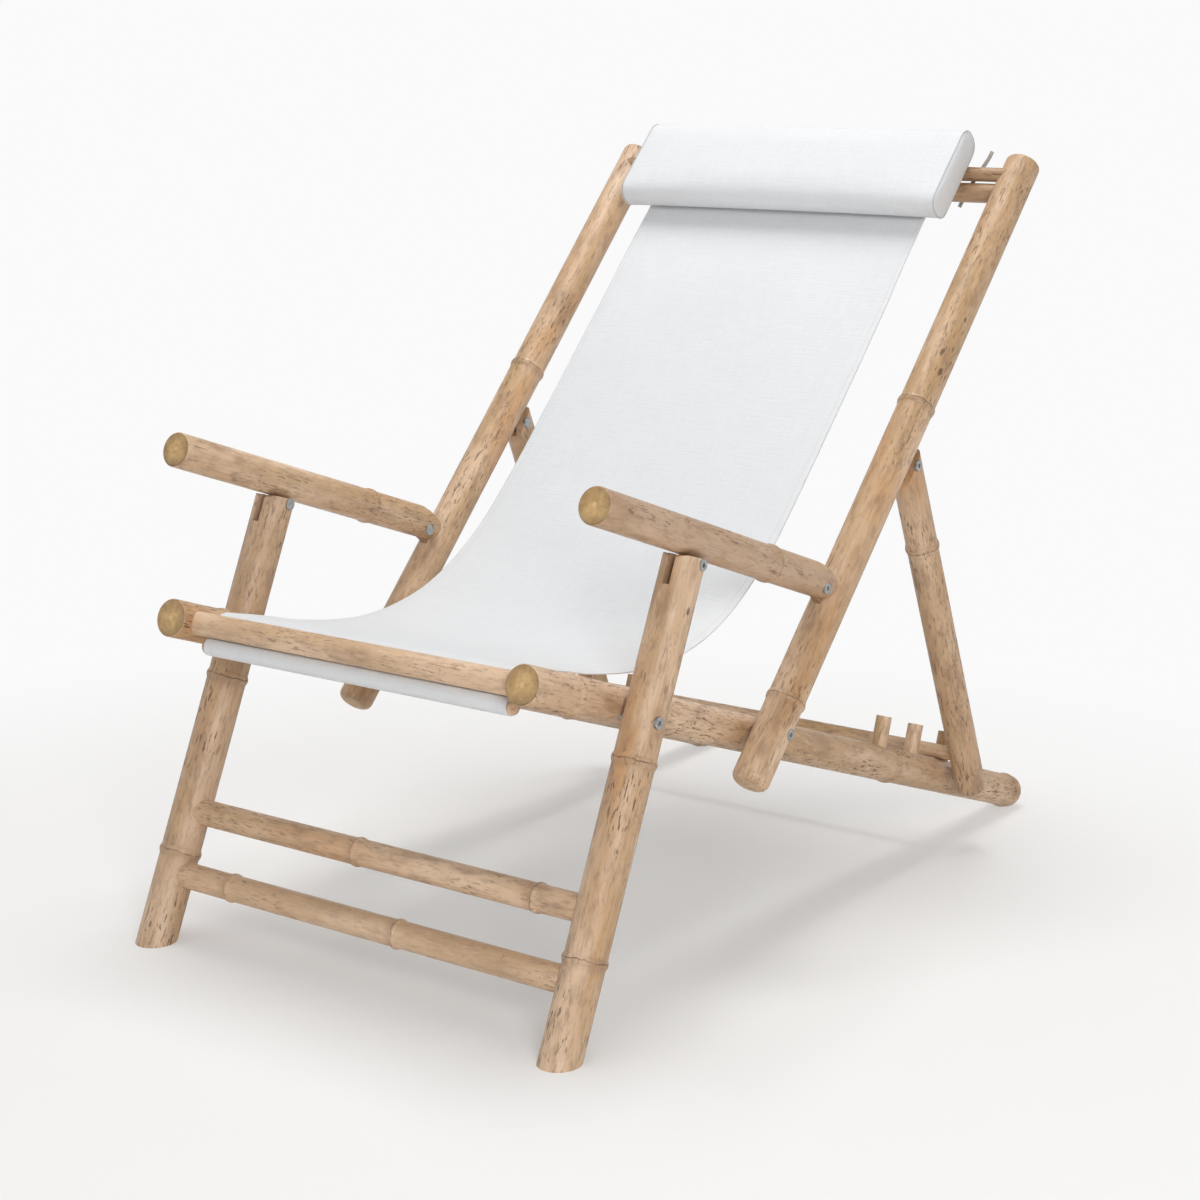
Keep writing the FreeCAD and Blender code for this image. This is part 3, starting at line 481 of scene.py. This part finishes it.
# Culms in pairs, in mm and degrees in the side view: rings are (place along, strength), tone greys
# the left and the right one, and knots are (place along, angle round, size, strength) on the left one
culms = {
    "leg": {
        "x": 267.0, "base": (0.0, 0.0), "angle": 66.15, "radius": 20.9,
        "fleck": 1.1, "tone": (0.10, 0.24), "rings": ((96.5, 0.9), (287.0, 1.0)),
        "knots": ((434.0, -8.0, 2.6, 0.8), (357.5, -18.0, 3.6, 0.45)),
    },
    "rail": {
        "x": 226.0, "base": (-0.3, 354.0), "angle": -19.25, "radius": 19.6,
        "fleck": 1.0, "tone": (0.12, 0.12), "rings": ((71.8, 0.12), (700.9, 0.5), (1006.7, 0.4)),
    },
    "stile": {
        "x": 267.0, "base": (312.1, 190.7), "angle": 47.23, "radius": 19.8,
        "fleck": 0.95, "tone": (0.08, 0.04), "rings": ((100.0, 0.7), (473.0, 0.9)), "ends": 0.3,
        "knots": ((586.2, -24.0, 2.4, 0.8), (537.6, -50.0, 2.8, 0.8), (514.4, -30.0, 3.0, 0.8)),
    },
    "arm": {
        "x": 267.0, "base": (53.9, 515.5), "angle": -19.25, "radius": 18.3,
        "fleck": 0.75, "tone": (0.50, 0.10), "rings": ((304.0, 0.5),),
        "knots": ((33.5, -5.0, 2.2, 0.7),),
    },
    "prop": {
        "x": 267.0, "base": (612.0, 479.0), "angle": -66.64, "radius": 17.5,
        "fleck": 0.9, "tone": (0.14, 0.14), "rings": ((107.0, 0.8),), "ends": 0.25,
    },
}
# Cross members: rings are (x, strength), a tone below zero turns them pink
bars = {
    "front_bar": {"at": (21.7, 346.3), "radius": 12.1, "fleck": 0.6, "tone": -0.18,
                  "rings": ((10.0, 0.25), (120.0, 0.2))},
    "rung_upper": {"at": (57.4, 129.9), "radius": 13.8, "fleck": 0.65, "tone": -0.08,
                   "rings": ((-29.0, 0.6), (199.0, 0.7))},
    "rung_lower": {"at": (30.0, 67.9), "radius": 13.8, "fleck": 0.65, "tone": -0.25,
                   "rings": ((-180.0, 0.6), (46.0, 0.7))},
    "top_rail": {"at": (834.5, 755.5), "radius": 11.0, "fleck": 1.1, "tone": 0.5},
    "top_hem_dowel": {"at": (838.0, 776.2), "radius": 8.0, "fleck": 1.0, "tone": 0.5},
    "front_hem_dowel": {"at": (23.2, 324.1), "radius": 8.0, "fleck": 0.3, "ends": 0.2},
    "crossbar": {"at": (776.2, 112.7), "radius": 8.3, "fleck": 0.6},
}
barOrange = 0.7
pegs = {"first": 675.4, "pitch": 77.3, "count": 3, "radius": 8.8, "fleck": 0.4, "orange": 0.5}
# The culm whose direction each pair of tongues follows
tongues = {"arm_tongue_": "arm", "arm_tongue_front_": "leg", "prop_tongue_": "prop"}
# The tongues sit deep in the fork slots: tone 1.0 greys them right through as painted shade of the slot,
# over flecks and grain that are the wood's own
tongueSlotShadeLook = {"fleck": 0.4, "orange": 0.6, "ends": 0.0, "tone": 1.0}
# Seeds: the step from one kind of culm to the next and between the sides, the first bar and
# the step to the next, the pegs and the tongues
seeds = {"culm": 2.3, "otherSide": 1.1, "bar": (20, 1.7), "peg": 40, "tongue": 50}


def dress(node, material):
    mesh = nodes[node].data
    mesh.materials.clear()
    mesh.materials.append(material)
    for face in mesh.polygons:
        face.material_index = 0


def inMetres(rows):
    return [(at / 1000, strength) for at, strength in rows]


def dressCulms():
    for count, (kind, c) in enumerate(culms.items()):
        turn = (math.radians(c["angle"] - 90), 0, 0)
        for side, sign in sides:
            near = sign > 0
            node = kind + "_" + side
            knots = c.get("knots", ()) if near else ()
            knots = [(at / 1000, angle, size / 1000, strength) for at, angle, size, strength in knots]
            dress(node, bambooMaterial(
                "bamboo_" + node, inFrame(sign * c["x"], c["base"]), turn, c["radius"] / 1000,
                count * seeds["culm"] + (seeds["otherSide"] if near else 0.0), inMetres(c["rings"]),
                c["fleck"], 1.0, c.get("ends", 1.0), c["tone"][0 if near else 1], knots))


def dressBars():
    turn = (0, math.radians(90), 0)
    first, step = seeds["bar"]
    for count, (node, c) in enumerate(bars.items()):
        dress(node, bambooMaterial(
            "bamboo_" + node, inFrame(0, c["at"]), turn, c["radius"] / 1000, first + count * step,
            inMetres(c.get("rings", ())), c["fleck"], barOrange, c.get("ends", 1.0), c.get("tone", 0.0)))


def dressPegs():
    rail = culms["rail"]
    turn = (math.radians(rail["angle"]), 0, 0)
    for side, sign in sides:
        for n in range(pegs["count"]):
            at = Vector(rail["base"]) + direction(rail["angle"]) * (pegs["first"] + pegs["pitch"] * n)
            node = "peg_%s_%d" % (side, n + 1)
            dress(node, bambooMaterial(
                "dowel_" + node, inFrame(sign * rail["x"], at), turn, pegs["radius"] / 1000,
                seeds["peg"] + n + sign, fleck=pegs["fleck"], orange=pegs["orange"]))


def dressTongues():
    for name, kind in tongues.items():
        c = culms[kind]
        turn = (math.radians(c["angle"] - 90), 0, 0)
        for side, sign in sides:
            dress(name + side, bambooMaterial(
                "tongue_" + name + side, inFrame(sign * c["x"], c["base"]), turn, c["radius"] / 1000,
                seeds["tongue"] + sign, **tongueSlotShadeLook))


dressCulms()
dressBars()
dressPegs()
dressTongues()
print("culms dressed")

# Bolts
steelSetup = {
    "dark": linear(150, 151, 151), "light": linear(182, 183, 182), "metal": 0.75, "rough": (0.25, 0.28),
    "cloud": 260, "fine": 1400, "detail": 3, "noiseRough": 0.6, "span": (0.35, 0.7), "bump": (0.25, 0.0002),
}


def steelMaterial(name, t):
    s = Shade(name)
    cloud, fine = (s.noise(s.coord.outputs["Object"], t[key], t["detail"], t["noiseRough"])
                   for key in ("cloud", "fine"))
    color = s.mix(s.span(cloud, *t["span"]), t["dark"], t["light"])
    rough = s.math("MULTIPLY_ADD", cloud, *t["rough"])
    s.put({"Base Color": color, "Metallic": t["metal"], "Roughness": rough})
    s.bump(fine, *t["bump"])
    return s.mat


steel = steelMaterial("boltSteel", steelSetup)
for node in nodes:
    if node.startswith("bolt_"):
        dress(node, steel)
print("bolts dressed")

# Canvas: pale plain weave, with thicker threads here and there
clothColors = {
    "canvas": linear(233, 235, 237),
    "shade": linear(224, 226, 229),
    "thread": linear(206, 208, 212),
    "welt": linear(168, 171, 176),
    "tape": linear(190, 186, 180),
    "tapeDark": linear(150, 146, 140),
}
weaveSetup = {
    "pitch": 0.0009, "slub": (28, 420), "slubRough": 0.6, "cloud": 9, "cloudRough": 0.5,
    "detail": 3, "span": (0.35, 0.70),
    "threadShare": 0.34, "cloudShare": 0.22, "cellShare": 0.06, "stitchShare": 0.55,
    "cellHeight": 0.35, "threadHeight": 0.8, "stitchHeight": 2.4, "bump": 0.5,
    "rough": (0.08, 0.84), "gloss": 0.2, "sheen": 0.12, "sheenRough": 0.5,
}


def weaveMaterial(name, across, along, light, dark, depth, stitch=None, pitch=weaveSetup["pitch"]):
    # across and along give the two thread directions in metres
    w = weaveSetup
    s = Shade(name)
    u, v = across(s), along(s)
    flat = s.vector(u, v, 0.0)

    def threads(place, scale, rough):
        source = s.mapping(flat, "POINT", place=place, scale=(*scale, 1))
        return s.noise(source, detail=w["detail"], rough=rough)

    warp, weft = (s.math("SINE", s.math("MULTIPLY", a, 2 * math.pi / pitch)) for a in (u, v))
    cell = s.math("MULTIPLY", warp, weft)
    slubs = threads((0, 0, 0), w["slub"], w["slubRough"])
    lines = threads((0.3, 0.1, 0), w["slub"][::-1], w["slubRough"])
    cloud = threads((0.7, 0.2, 0), (w["cloud"], w["cloud"]), w["cloudRough"])
    thick = s.math("ADD", s.span(slubs, *w["span"]), s.span(lines, *w["span"]))
    color = s.mix(s.math("MULTIPLY", thick, w["threadShare"]), light, dark)
    color = s.mix(s.math("MULTIPLY", s.span(cloud, *w["span"]), w["cloudShare"]), color, dark)
    color = s.mix(s.math("MULTIPLY_ADD", cell, w["cellShare"], w["cellShare"]), color, dark)
    height = s.math("MULTIPLY_ADD", cell, w["cellHeight"], s.math("MULTIPLY", thick, w["threadHeight"]))
    if stitch:
        line, press = stitch(s, u, v)
        color = s.mix(s.math("MULTIPLY", line, w["stitchShare"]), color, clothColors["thread"])
        height = s.math("SUBTRACT", height, s.math("MULTIPLY", press, w["stitchHeight"]))
    rough = s.math("MULTIPLY_ADD", cloud, *w["rough"])
    s.put({"Base Color": color, "Roughness": rough, "Specular IOR Level": w["gloss"],
           "Sheen Weight": w["sheen"], "Sheen Roughness": w["sheenRough"]})
    s.bump(height, w["bump"], depth)
    return s.mat


def threadAcross(s):
    return s.parts(s.coord.outputs["UV"])[0]


def threadAlong(s):
    return s.parts(s.coord.outputs["UV"])[1]


def mapThreads(piece, place):
    uv = piece.data.uv_layers.new(name="threads")
    for loop in piece.data.loops:
        uv.data[loop.index].uv = place[loop.vertex_index]


def turnOutward(piece):
    bm = bmesh.new()
    bm.from_mesh(piece.data)
    bmesh.ops.recalc_face_normals(bm, faces=bm.faces)
    bm.to_mesh(piece.data)
    bm.free()


def tubeFaces(rings, around):
    made = []
    for k in range(rings - 1):
        for n in range(around):
            m = (n + 1) % around
            made.append((k * around + n, k * around + m, (k + 1) * around + m, (k + 1) * around + n))
    return made


# Sling: one band of canvas from the sleeve on the front hem dowel, up behind the front bar,
# through the sag of the seat and straight up the back to the sleeve on the top dowel
sling = {
    "thick": 1.2, "halfFront": 195.5, "halfTop": 189.0, "lineRadius": 8.9,
    "frontDowel": (23.2, 324.12), "frontBar": (21.7, 346.32), "barRadius": 13.0, "barLeave": 8,
    "topDowel": (838.0, 776.2), "backGuess": 47,
    "rise": [(36.3, 351.7), (40.2, 354.1), (46.0, 354.4)],
    "seat": [(60, 351.2), (100, 342), (150, 330.6), (200, 321.6), (250, 316.8), (300, 320.2),
             (345, 329.6), (385, 345.2), (425, 368.2), (462, 396.5), (500, 432.6), (526.5, 460)],
    "fine": 2.2, "coarse": 7.0, "backParts": 6, "edge": (1, 0.992, 0.975, 0.95, 0.9),
    "wave": 0.9, "waves": (0.011, 2.1, 2.6, 0.004), "curl": 2.2, "still": (110, 80, 190, 60),
    "blendFrom": (300.0, 320.2), "blendTo": (462.0, 396.5),
}
# Sleeves: length of the sewn tail below each dowel, and the way from the tail round the dowel,
# along the cloth and out from it
sleeve = {
    "frontTail": 3.5, "topTail": 12.0, "seam": 9.5, "layers": 1.35,
    "part": [(-15.0, 1.35), (-12.4, 1.45), (-10.6, 2.0), (-9.4, 3.3), (-8.9, 5.0)],
    "turn": (280, -8),
}
# Hem stitches, in metres
stitches = {
    "row": 0.1845, "line": (0.0003, 0.0006), "pitch": 0.0034, "dash": (-0.55, -0.25),
    "press": (0.0004, 0.0016), "depth": 0.35,
}


def tangentAngle(start, centre, radius, guess):
    # direction of the line from start that touches the dowel on its left
    angle = guess
    for k in range(6):
        touch = Vector(centre) + left(angle) * radius
        angle = math.degrees(math.atan2(touch.y - start[1], touch.x - start[0]))
    return angle, touch


def sleeveLoop(touch, angle, radius, tail):
    # points from the end of the sewn tail round the dowel to where the cloth leaves it
    ahead, out = direction(angle), left(angle)
    first, step = sleeve["turn"]
    made = [(-tail - sleeve["seam"], sleeve["layers"])] + sleeve["part"]
    for degrees in range(first, 0, step):
        a = math.radians(degrees)
        made.append((radius * math.sin(a), radius - radius * math.cos(a)))
    return [touch + ahead * a + out * -b for a, b in made]


def smoothPath(points, step):
    # points at even steps along the smooth curve through these
    made = []
    last = len(points) - 1
    for k in range(last):
        p0, p1, p2, p3 = (Vector(points[min(max(k + n, 0), last)]) for n in (-1, 0, 1, 2))
        t1, t2, t3 = (max((b - a).length, 0.01) ** 0.5 for a, b in ((p0, p1), (p1, p2), (p2, p3)))
        m1 = p2 - p1
        m2 = p2 - p1
        if k:
            m1 = m1 + ((p1 - p0) / t1 - (p2 - p0) / (t1 + t2)) * t2
        if k < last - 1:
            m2 = m2 + ((p3 - p2) / t3 - (p3 - p1) / (t2 + t3)) * t2
        count = max(1, round((p2 - p1).length / step))
        for n in range(count):
            t = n / count
            made.append((2 * t ** 3 - 3 * t ** 2 + 1) * p1 + (t ** 3 - 2 * t ** 2 + t) * m1
                        + (3 * t ** 2 - 2 * t ** 3) * p2 + (t ** 3 - t ** 2) * m2)
    made.append(Vector(points[-1]))
    return made


def slingPath(s):
    radius = s["lineRadius"]
    rise = Vector(s["frontBar"]) - Vector(s["frontDowel"])
    up = math.degrees(math.atan2(rise.y, rise.x) - math.asin((s["barRadius"] - radius) / rise.length))
    touch = Vector(s["frontDowel"]) + left(up) * -radius
    first = sleeveLoop(touch, up + 180, radius, sleeve["frontTail"])
    bar = [Vector(s["frontBar"]) + direction(a) * s["barRadius"] for a in (up - 90, s["barLeave"])]
    run = bar + [Vector(p) for p in s["rise"] + s["seat"]]
    back, top = tangentAngle(s["seat"][-1], s["topDowel"], radius, s["backGuess"])
    straight = [run[-1] + (top - run[-1]) * k / s["backParts"] for k in range(1, s["backParts"])]
    last = sleeveLoop(top, back, radius, sleeve["topTail"])[::-1]
    path = smoothPath(first, s["fine"])[:-1] + [touch]
    path += smoothPath(run + straight + [top], s["coarse"]) + smoothPath(last, s["fine"])
    return path, back, top


def slingStitch(s, u, v):
    # one row of stitches inside each side hem
    t = stitches
    away = s.math("ABSOLUTE", s.math("SUBTRACT", s.math("ABSOLUTE", u), t["row"]))
    row = s.span(away, *t["line"], 1.0, 0.0)
    dash = s.span(s.math("SINE", s.math("MULTIPLY", v, 2 * math.pi / t["pitch"])), *t["dash"])
    press = s.math("MULTIPLY", s.span(away, *t["press"], 1.0, 0.0), t["depth"])
    return s.math("MULTIPLY", row, dash), press


def slingLift(s, share, along, total):
    # slow waves and slightly curled edges, none near the bars
    low, lowOver, high, highOver = s["still"]
    free = min(1.0, max(0.0, (along - low) / lowOver))
    free *= min(1.0, max(0.0, (total - high - along) / highOver))
    a, b, c, d = s["waves"]
    wave = math.sin(a * along + b * share) * math.cos(c * share - d * along)
    curl = -s["curl"] * abs(share) ** 6 * free
    return (s["wave"] * wave + curl) * free


def makeSling(s):
    path, back, top = slingPath(s)
    length = [0.0]
    for p, q in zip(path, path[1:]):
        length.append(length[-1] + (q - p).length)
    edge = s["edge"]
    shares = [-e for e in edge] + [-0.8 + 0.1 * k for k in range(17)] + list(edge[::-1])
    points, faces, place = [], [], []
    for k, (p, along) in enumerate(zip(path, length)):
        half = s["halfFront"] + (s["halfTop"] - s["halfFront"]) * (along / length[-1])
        ahead = path[min(k + 1, len(path) - 1)] - path[max(k - 1, 0)]
        out = Vector((-ahead.y, ahead.x)).normalized()
        for share in shares:
            points.append(inFrame(half * share, p + out * slingLift(s, share, along, length[-1])))
            place.append((half * share / 1000, along / 1000))
    wide = len(shares)
    for k in range(len(path) - 1):
        for n in range(wide - 1):
            a = k * wide + n
            faces.append((a, a + 1, a + wide + 1, a + wide))
    cloth = weaveMaterial("slingCanvas", threadAcross, threadAlong,
                          clothColors["canvas"], clothColors["shade"], 0.0004, slingStitch)
    piece = newPiece("sling_canvas", points, faces, cloth)
    mapThreads(piece, place)
    shell = piece.modifiers.new("thickness", "SOLIDIFY")
    shell.thickness = s["thick"] / 1000
    shell.offset = 0
    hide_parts("sling")
    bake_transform(piece)
    print("sling made, %.0f mm long" % length[-1])
    return back, top


backAngle, topTouch = makeSling(sling)

# Headrest: a stuffed box cushion with sewn end panels, leaning on the cloth below the top dowel
headrest = {
    "half": 214.0, "high": 108.0, "thick": 36.5, "round": 15.0, "crown": 1.5, "inset": 0.6, "grow": 3.2,
    "bulge": 4.0, "low": -79.4, "gap": 1.2, "cornerSteps": 6, "sideStep": 5.5,
    "edge": (1, 0.985, 0.965, 0.94), "panel": (0.9, 0.76, 0.58, 0.38, 0.18),
    "pressure": 4.0, "frames": 20, "cap": 4.2, "flat": 0.4, "welt": 0.6, "weltOut": 0.2,
}


def padSpot(x, a, b):
    # a point of the cushion: across, up the back and out from the cloth
    p = topTouch + direction(backAngle) * (headrest["low"] + a) + left(backAngle) * (headrest["gap"] + b)
    return inFrame(x, p)


def padOutline(h):
    # rounded rectangle in the cushion's own directions, up the back and out from it
    inset, grow, r = h["inset"], h["grow"], h["round"]
    high, thick = h["high"] + grow, h["thick"] - inset
    corners = ((r - grow, inset + r, 180), (high - r, inset + r, 270),
               (high - r, thick - r, 0), (r - grow, thick - r, 90))
    made = []
    for n, (a, b, start) in enumerate(corners):
        for k in range(h["cornerSteps"] + 1):
            t = math.radians(start + 90 * k / h["cornerSteps"])
            made.append((a + r * math.cos(t), b + r * math.sin(t)))
        nextA, nextB, nextStart = corners[(n + 1) % 4]
        t = math.radians(nextStart)
        goal = (nextA + r * math.cos(t), nextB + r * math.sin(t))
        here = made[-1]
        count = max(1, round(math.hypot(goal[0] - here[0], goal[1] - here[1]) / h["sideStep"]))
        for k in range(1, count):
            made.append([p + (q - p) * k / count for p, q in zip(here, goal)])
    return made


def padShape(h, ring, middle):
    # the long tube of the cushion, closed at each end by a slightly domed panel
    edge = h["edge"]
    places = [-e for e in edge] + [-0.91 + 0.0275 * k for k in range(67)] + list(edge[::-1])
    around = len(ring)
    points = []
    for share in places:
        crown = h["crown"] * (1 - share ** 4)
        points += [padSpot(h["half"] * share, a, b + crown * b / h["thick"]) for a, b in ring]
    faces = tubeFaces(len(places), around)
    last = (len(places) - 1) * around
    rim = list(range(around)) + list(range(last, last + around))
    for sign in (-1, 1):
        before = rim[:around] if sign < 0 else rim[around:]
        for scale in h["panel"]:
            first = len(points)
            x = sign * (h["half"] + h["bulge"] * (1 - scale ** 2) ** 0.5)
            smaller = [[m + (p - m) * scale for p, m in zip(spot, middle)] for spot in ring]
            points += [padSpot(x, a, b) for a, b in smaller]
            after = list(range(first, first + around))
            for n in range(around):
                m = (n + 1) % around
                faces.append((before[n], before[m], after[m], after[n])[::sign])
            before = after
        points.append(padSpot(sign * (h["half"] + h["bulge"]), *middle))
        for n in range(around):
            faces.append((before[n], before[(n + 1) % around], len(points) - 1)[::sign])
    return points, faces, rim


def puffPad(piece, h, rim):
    # the cover fills up under pressure, held at the seams of the end panels
    start = [v.co.copy() for v in piece.data.vertices]
    sewn = piece.vertex_groups.new(name="sewn")
    sewn.add(rim, 1.0, "REPLACE")
    puff = piece.modifiers.new("puff", "CLOTH")
    puff.settings.use_pressure = True
    puff.settings.uniform_pressure_force = h["pressure"]
    puff.settings.effector_weights.gravity = 0
    puff.settings.vertex_group_mass = "sewn"
    puff.point_cache.frame_end = h["frames"]
    for frameNumber in range(1, h["frames"] + 1):
        bpy.context.scene.frame_set(frameNumber)
    seen = piece.evaluated_get(bpy.context.evaluated_depsgraph_get())
    puffed = [v.co.copy() for v in seen.data.vertices]
    piece.modifiers.remove(puff)
    bpy.context.scene.frame_set(1)
    widest = 0.0
    for vert, old, new in zip(piece.data.vertices, start, puffed):
        step = new - old
        widest = max(widest, step.length)
        if step.length > h["cap"] / 1000:
            step = step.normalized() * h["cap"] / 1000
        vert.co = old + step
    print("headrest puffed, %.1f mm at most" % (widest * 1000))


def flattenRear(piece, h, out):
    # the side that leans on the cloth stays flat
    rear = padSpot(0, 0, 0)
    for vert in piece.data.vertices:
        depth = (vert.co - rear).dot(out)
        if depth < h["flat"] / 1000:
            vert.co += out * (h["flat"] / 1000 - depth)
    piece.data.update()


def addWelt(name, sign, h, ring, middle, material):
    # a thin welt closes each end panel
    line = [padSpot(sign * h["half"], a, b) for a, b in ring]
    centre = padSpot(sign * h["half"], *middle)
    path = bpy.data.curves.new("welt_" + name, "CURVE")
    path.dimensions = "3D"
    path.bevel_depth = h["welt"] / 1000
    path.bevel_resolution = 3
    spline = path.splines.new("NURBS")
    spline.points.add(len(line) - 1)
    for point, co in zip(spline.points, line):
        toward = (co - centre).normalized() * h["weltOut"] / 1000
        point.co = (*(co + toward), 1)
    spline.use_cyclic_u = True
    spline.order_u = 4
    path.materials.append(material)
    piece = bpy.data.objects.new("headrest_welt_" + name, path)
    bpy.context.collection.objects.link(piece)
    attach(piece, "back_frame")


def makeHeadrest(h):
    up = Vector((0, *direction(backAngle)))
    out = Vector((0, *left(backAngle)))

    def acrossThreads(s):
        return s.parts(s.coord.outputs["Object"])[0]

    def alongThreads(s):
        place = s.parts(s.coord.outputs["Object"])
        return s.math("MULTIPLY_ADD", place[1], up.y - out.y, s.math("MULTIPLY", place[2], up.z - out.z))

    ring = padOutline(h)
    middle = (h["high"] / 2, h["thick"] / 2)
    points, faces, rim = padShape(h, ring, middle)
    cloth = weaveMaterial("headrestCanvas", acrossThreads, alongThreads,
                          clothColors["canvas"], clothColors["shade"], 0.0004)
    piece = newPiece("headrest_cushion", points, faces, cloth)
    turnOutward(piece)
    puffPad(piece, h, rim)
    flattenRear(piece, h, out)
    fine = piece.modifiers.new("fine", "SUBSURF")
    fine.levels = 1
    fine.render_levels = 1
    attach(piece, "back_frame")
    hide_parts("headrest")
    welt = weaveMaterial("weltCanvas", acrossThreads, alongThreads,
                         clothColors["thread"], clothColors["welt"], 0.0002)
    for name, sign in sides:
        addWelt(name, sign, h, ring, middle, welt)
    print("headrest made")


makeHeadrest(headrest)

# Straps: a narrow tape at each side, slantwise behind the two top members, its ends standing free
strapTape = {
    "wide": 4.4, "thick": 1.1, "turn": 34.0, "step": 3.0, "pitch": 0.0007,
    "held": (744.0, 786.0), "over": 16.0,
    "line": [(197.0, 846.9, 738.0), (202.5, 847.1, 749.0), (209.5, 847.2, 761.0), (218.5, 847.2, 774.0),
             (226.5, 847.4, 785.5), (231.5, 849.4, 794.0), (234.0, 852.0, 801.5)],
    "section": ((-1, -0.6), (-0.8, -1), (0.8, -1), (1, -0.6), (1, 0.6), (0.8, 1), (-0.8, 1), (-1, 0.6)),
}


def strapShape(t, sign):
    line = smoothPath([Vector(p) for p in t["line"]], t["step"])
    around = len(t["section"])
    low, high = t["held"]
    points, place = [], []
    travelled = 0.0
    for k, p in enumerate(line):
        ahead = (line[min(k + 1, len(line) - 1)] - line[max(k - 1, 0)]).normalized()
        if k:
            travelled += (p - line[k - 1]).length
        side = Vector((0, 1, 0)).cross(ahead).normalized()
        free = max(0.0, (p.z - high) / t["over"]) + max(0.0, (low - p.z) / t["over"])
        side.rotate(Matrix.Rotation(math.radians(t["turn"]) * min(1.0, free), 3, ahead))
        normal = ahead.cross(side)
        for a, b in t["section"]:
            q = p + side * a * t["wide"] / 2 + normal * b * t["thick"] / 2
            points.append(inFrame(sign * q.x, (q.y, q.z)))
            place.append((a * t["wide"] / 2000, travelled / 1000))
    faces = tubeFaces(len(line), around)
    faces.append(tuple(range(around))[::-1])
    faces.append(tuple(range((len(line) - 1) * around, len(line) * around)))
    return points, faces, place


def makeStraps(t):
    tape = weaveMaterial("strapTape", threadAcross, threadAlong,
                         clothColors["tape"], clothColors["tapeDark"], 0.0004, pitch=t["pitch"])
    for name, sign in sides:
        points, faces, place = strapShape(t, sign)
        piece = newPiece("strap_tape_" + name, points, faces, tape)
        mapThreads(piece, place)
        turnOutward(piece)
        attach(piece, "back_frame")
        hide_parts("headrest_strap_" + name)
    print("straps made")


makeStraps(strapTape)
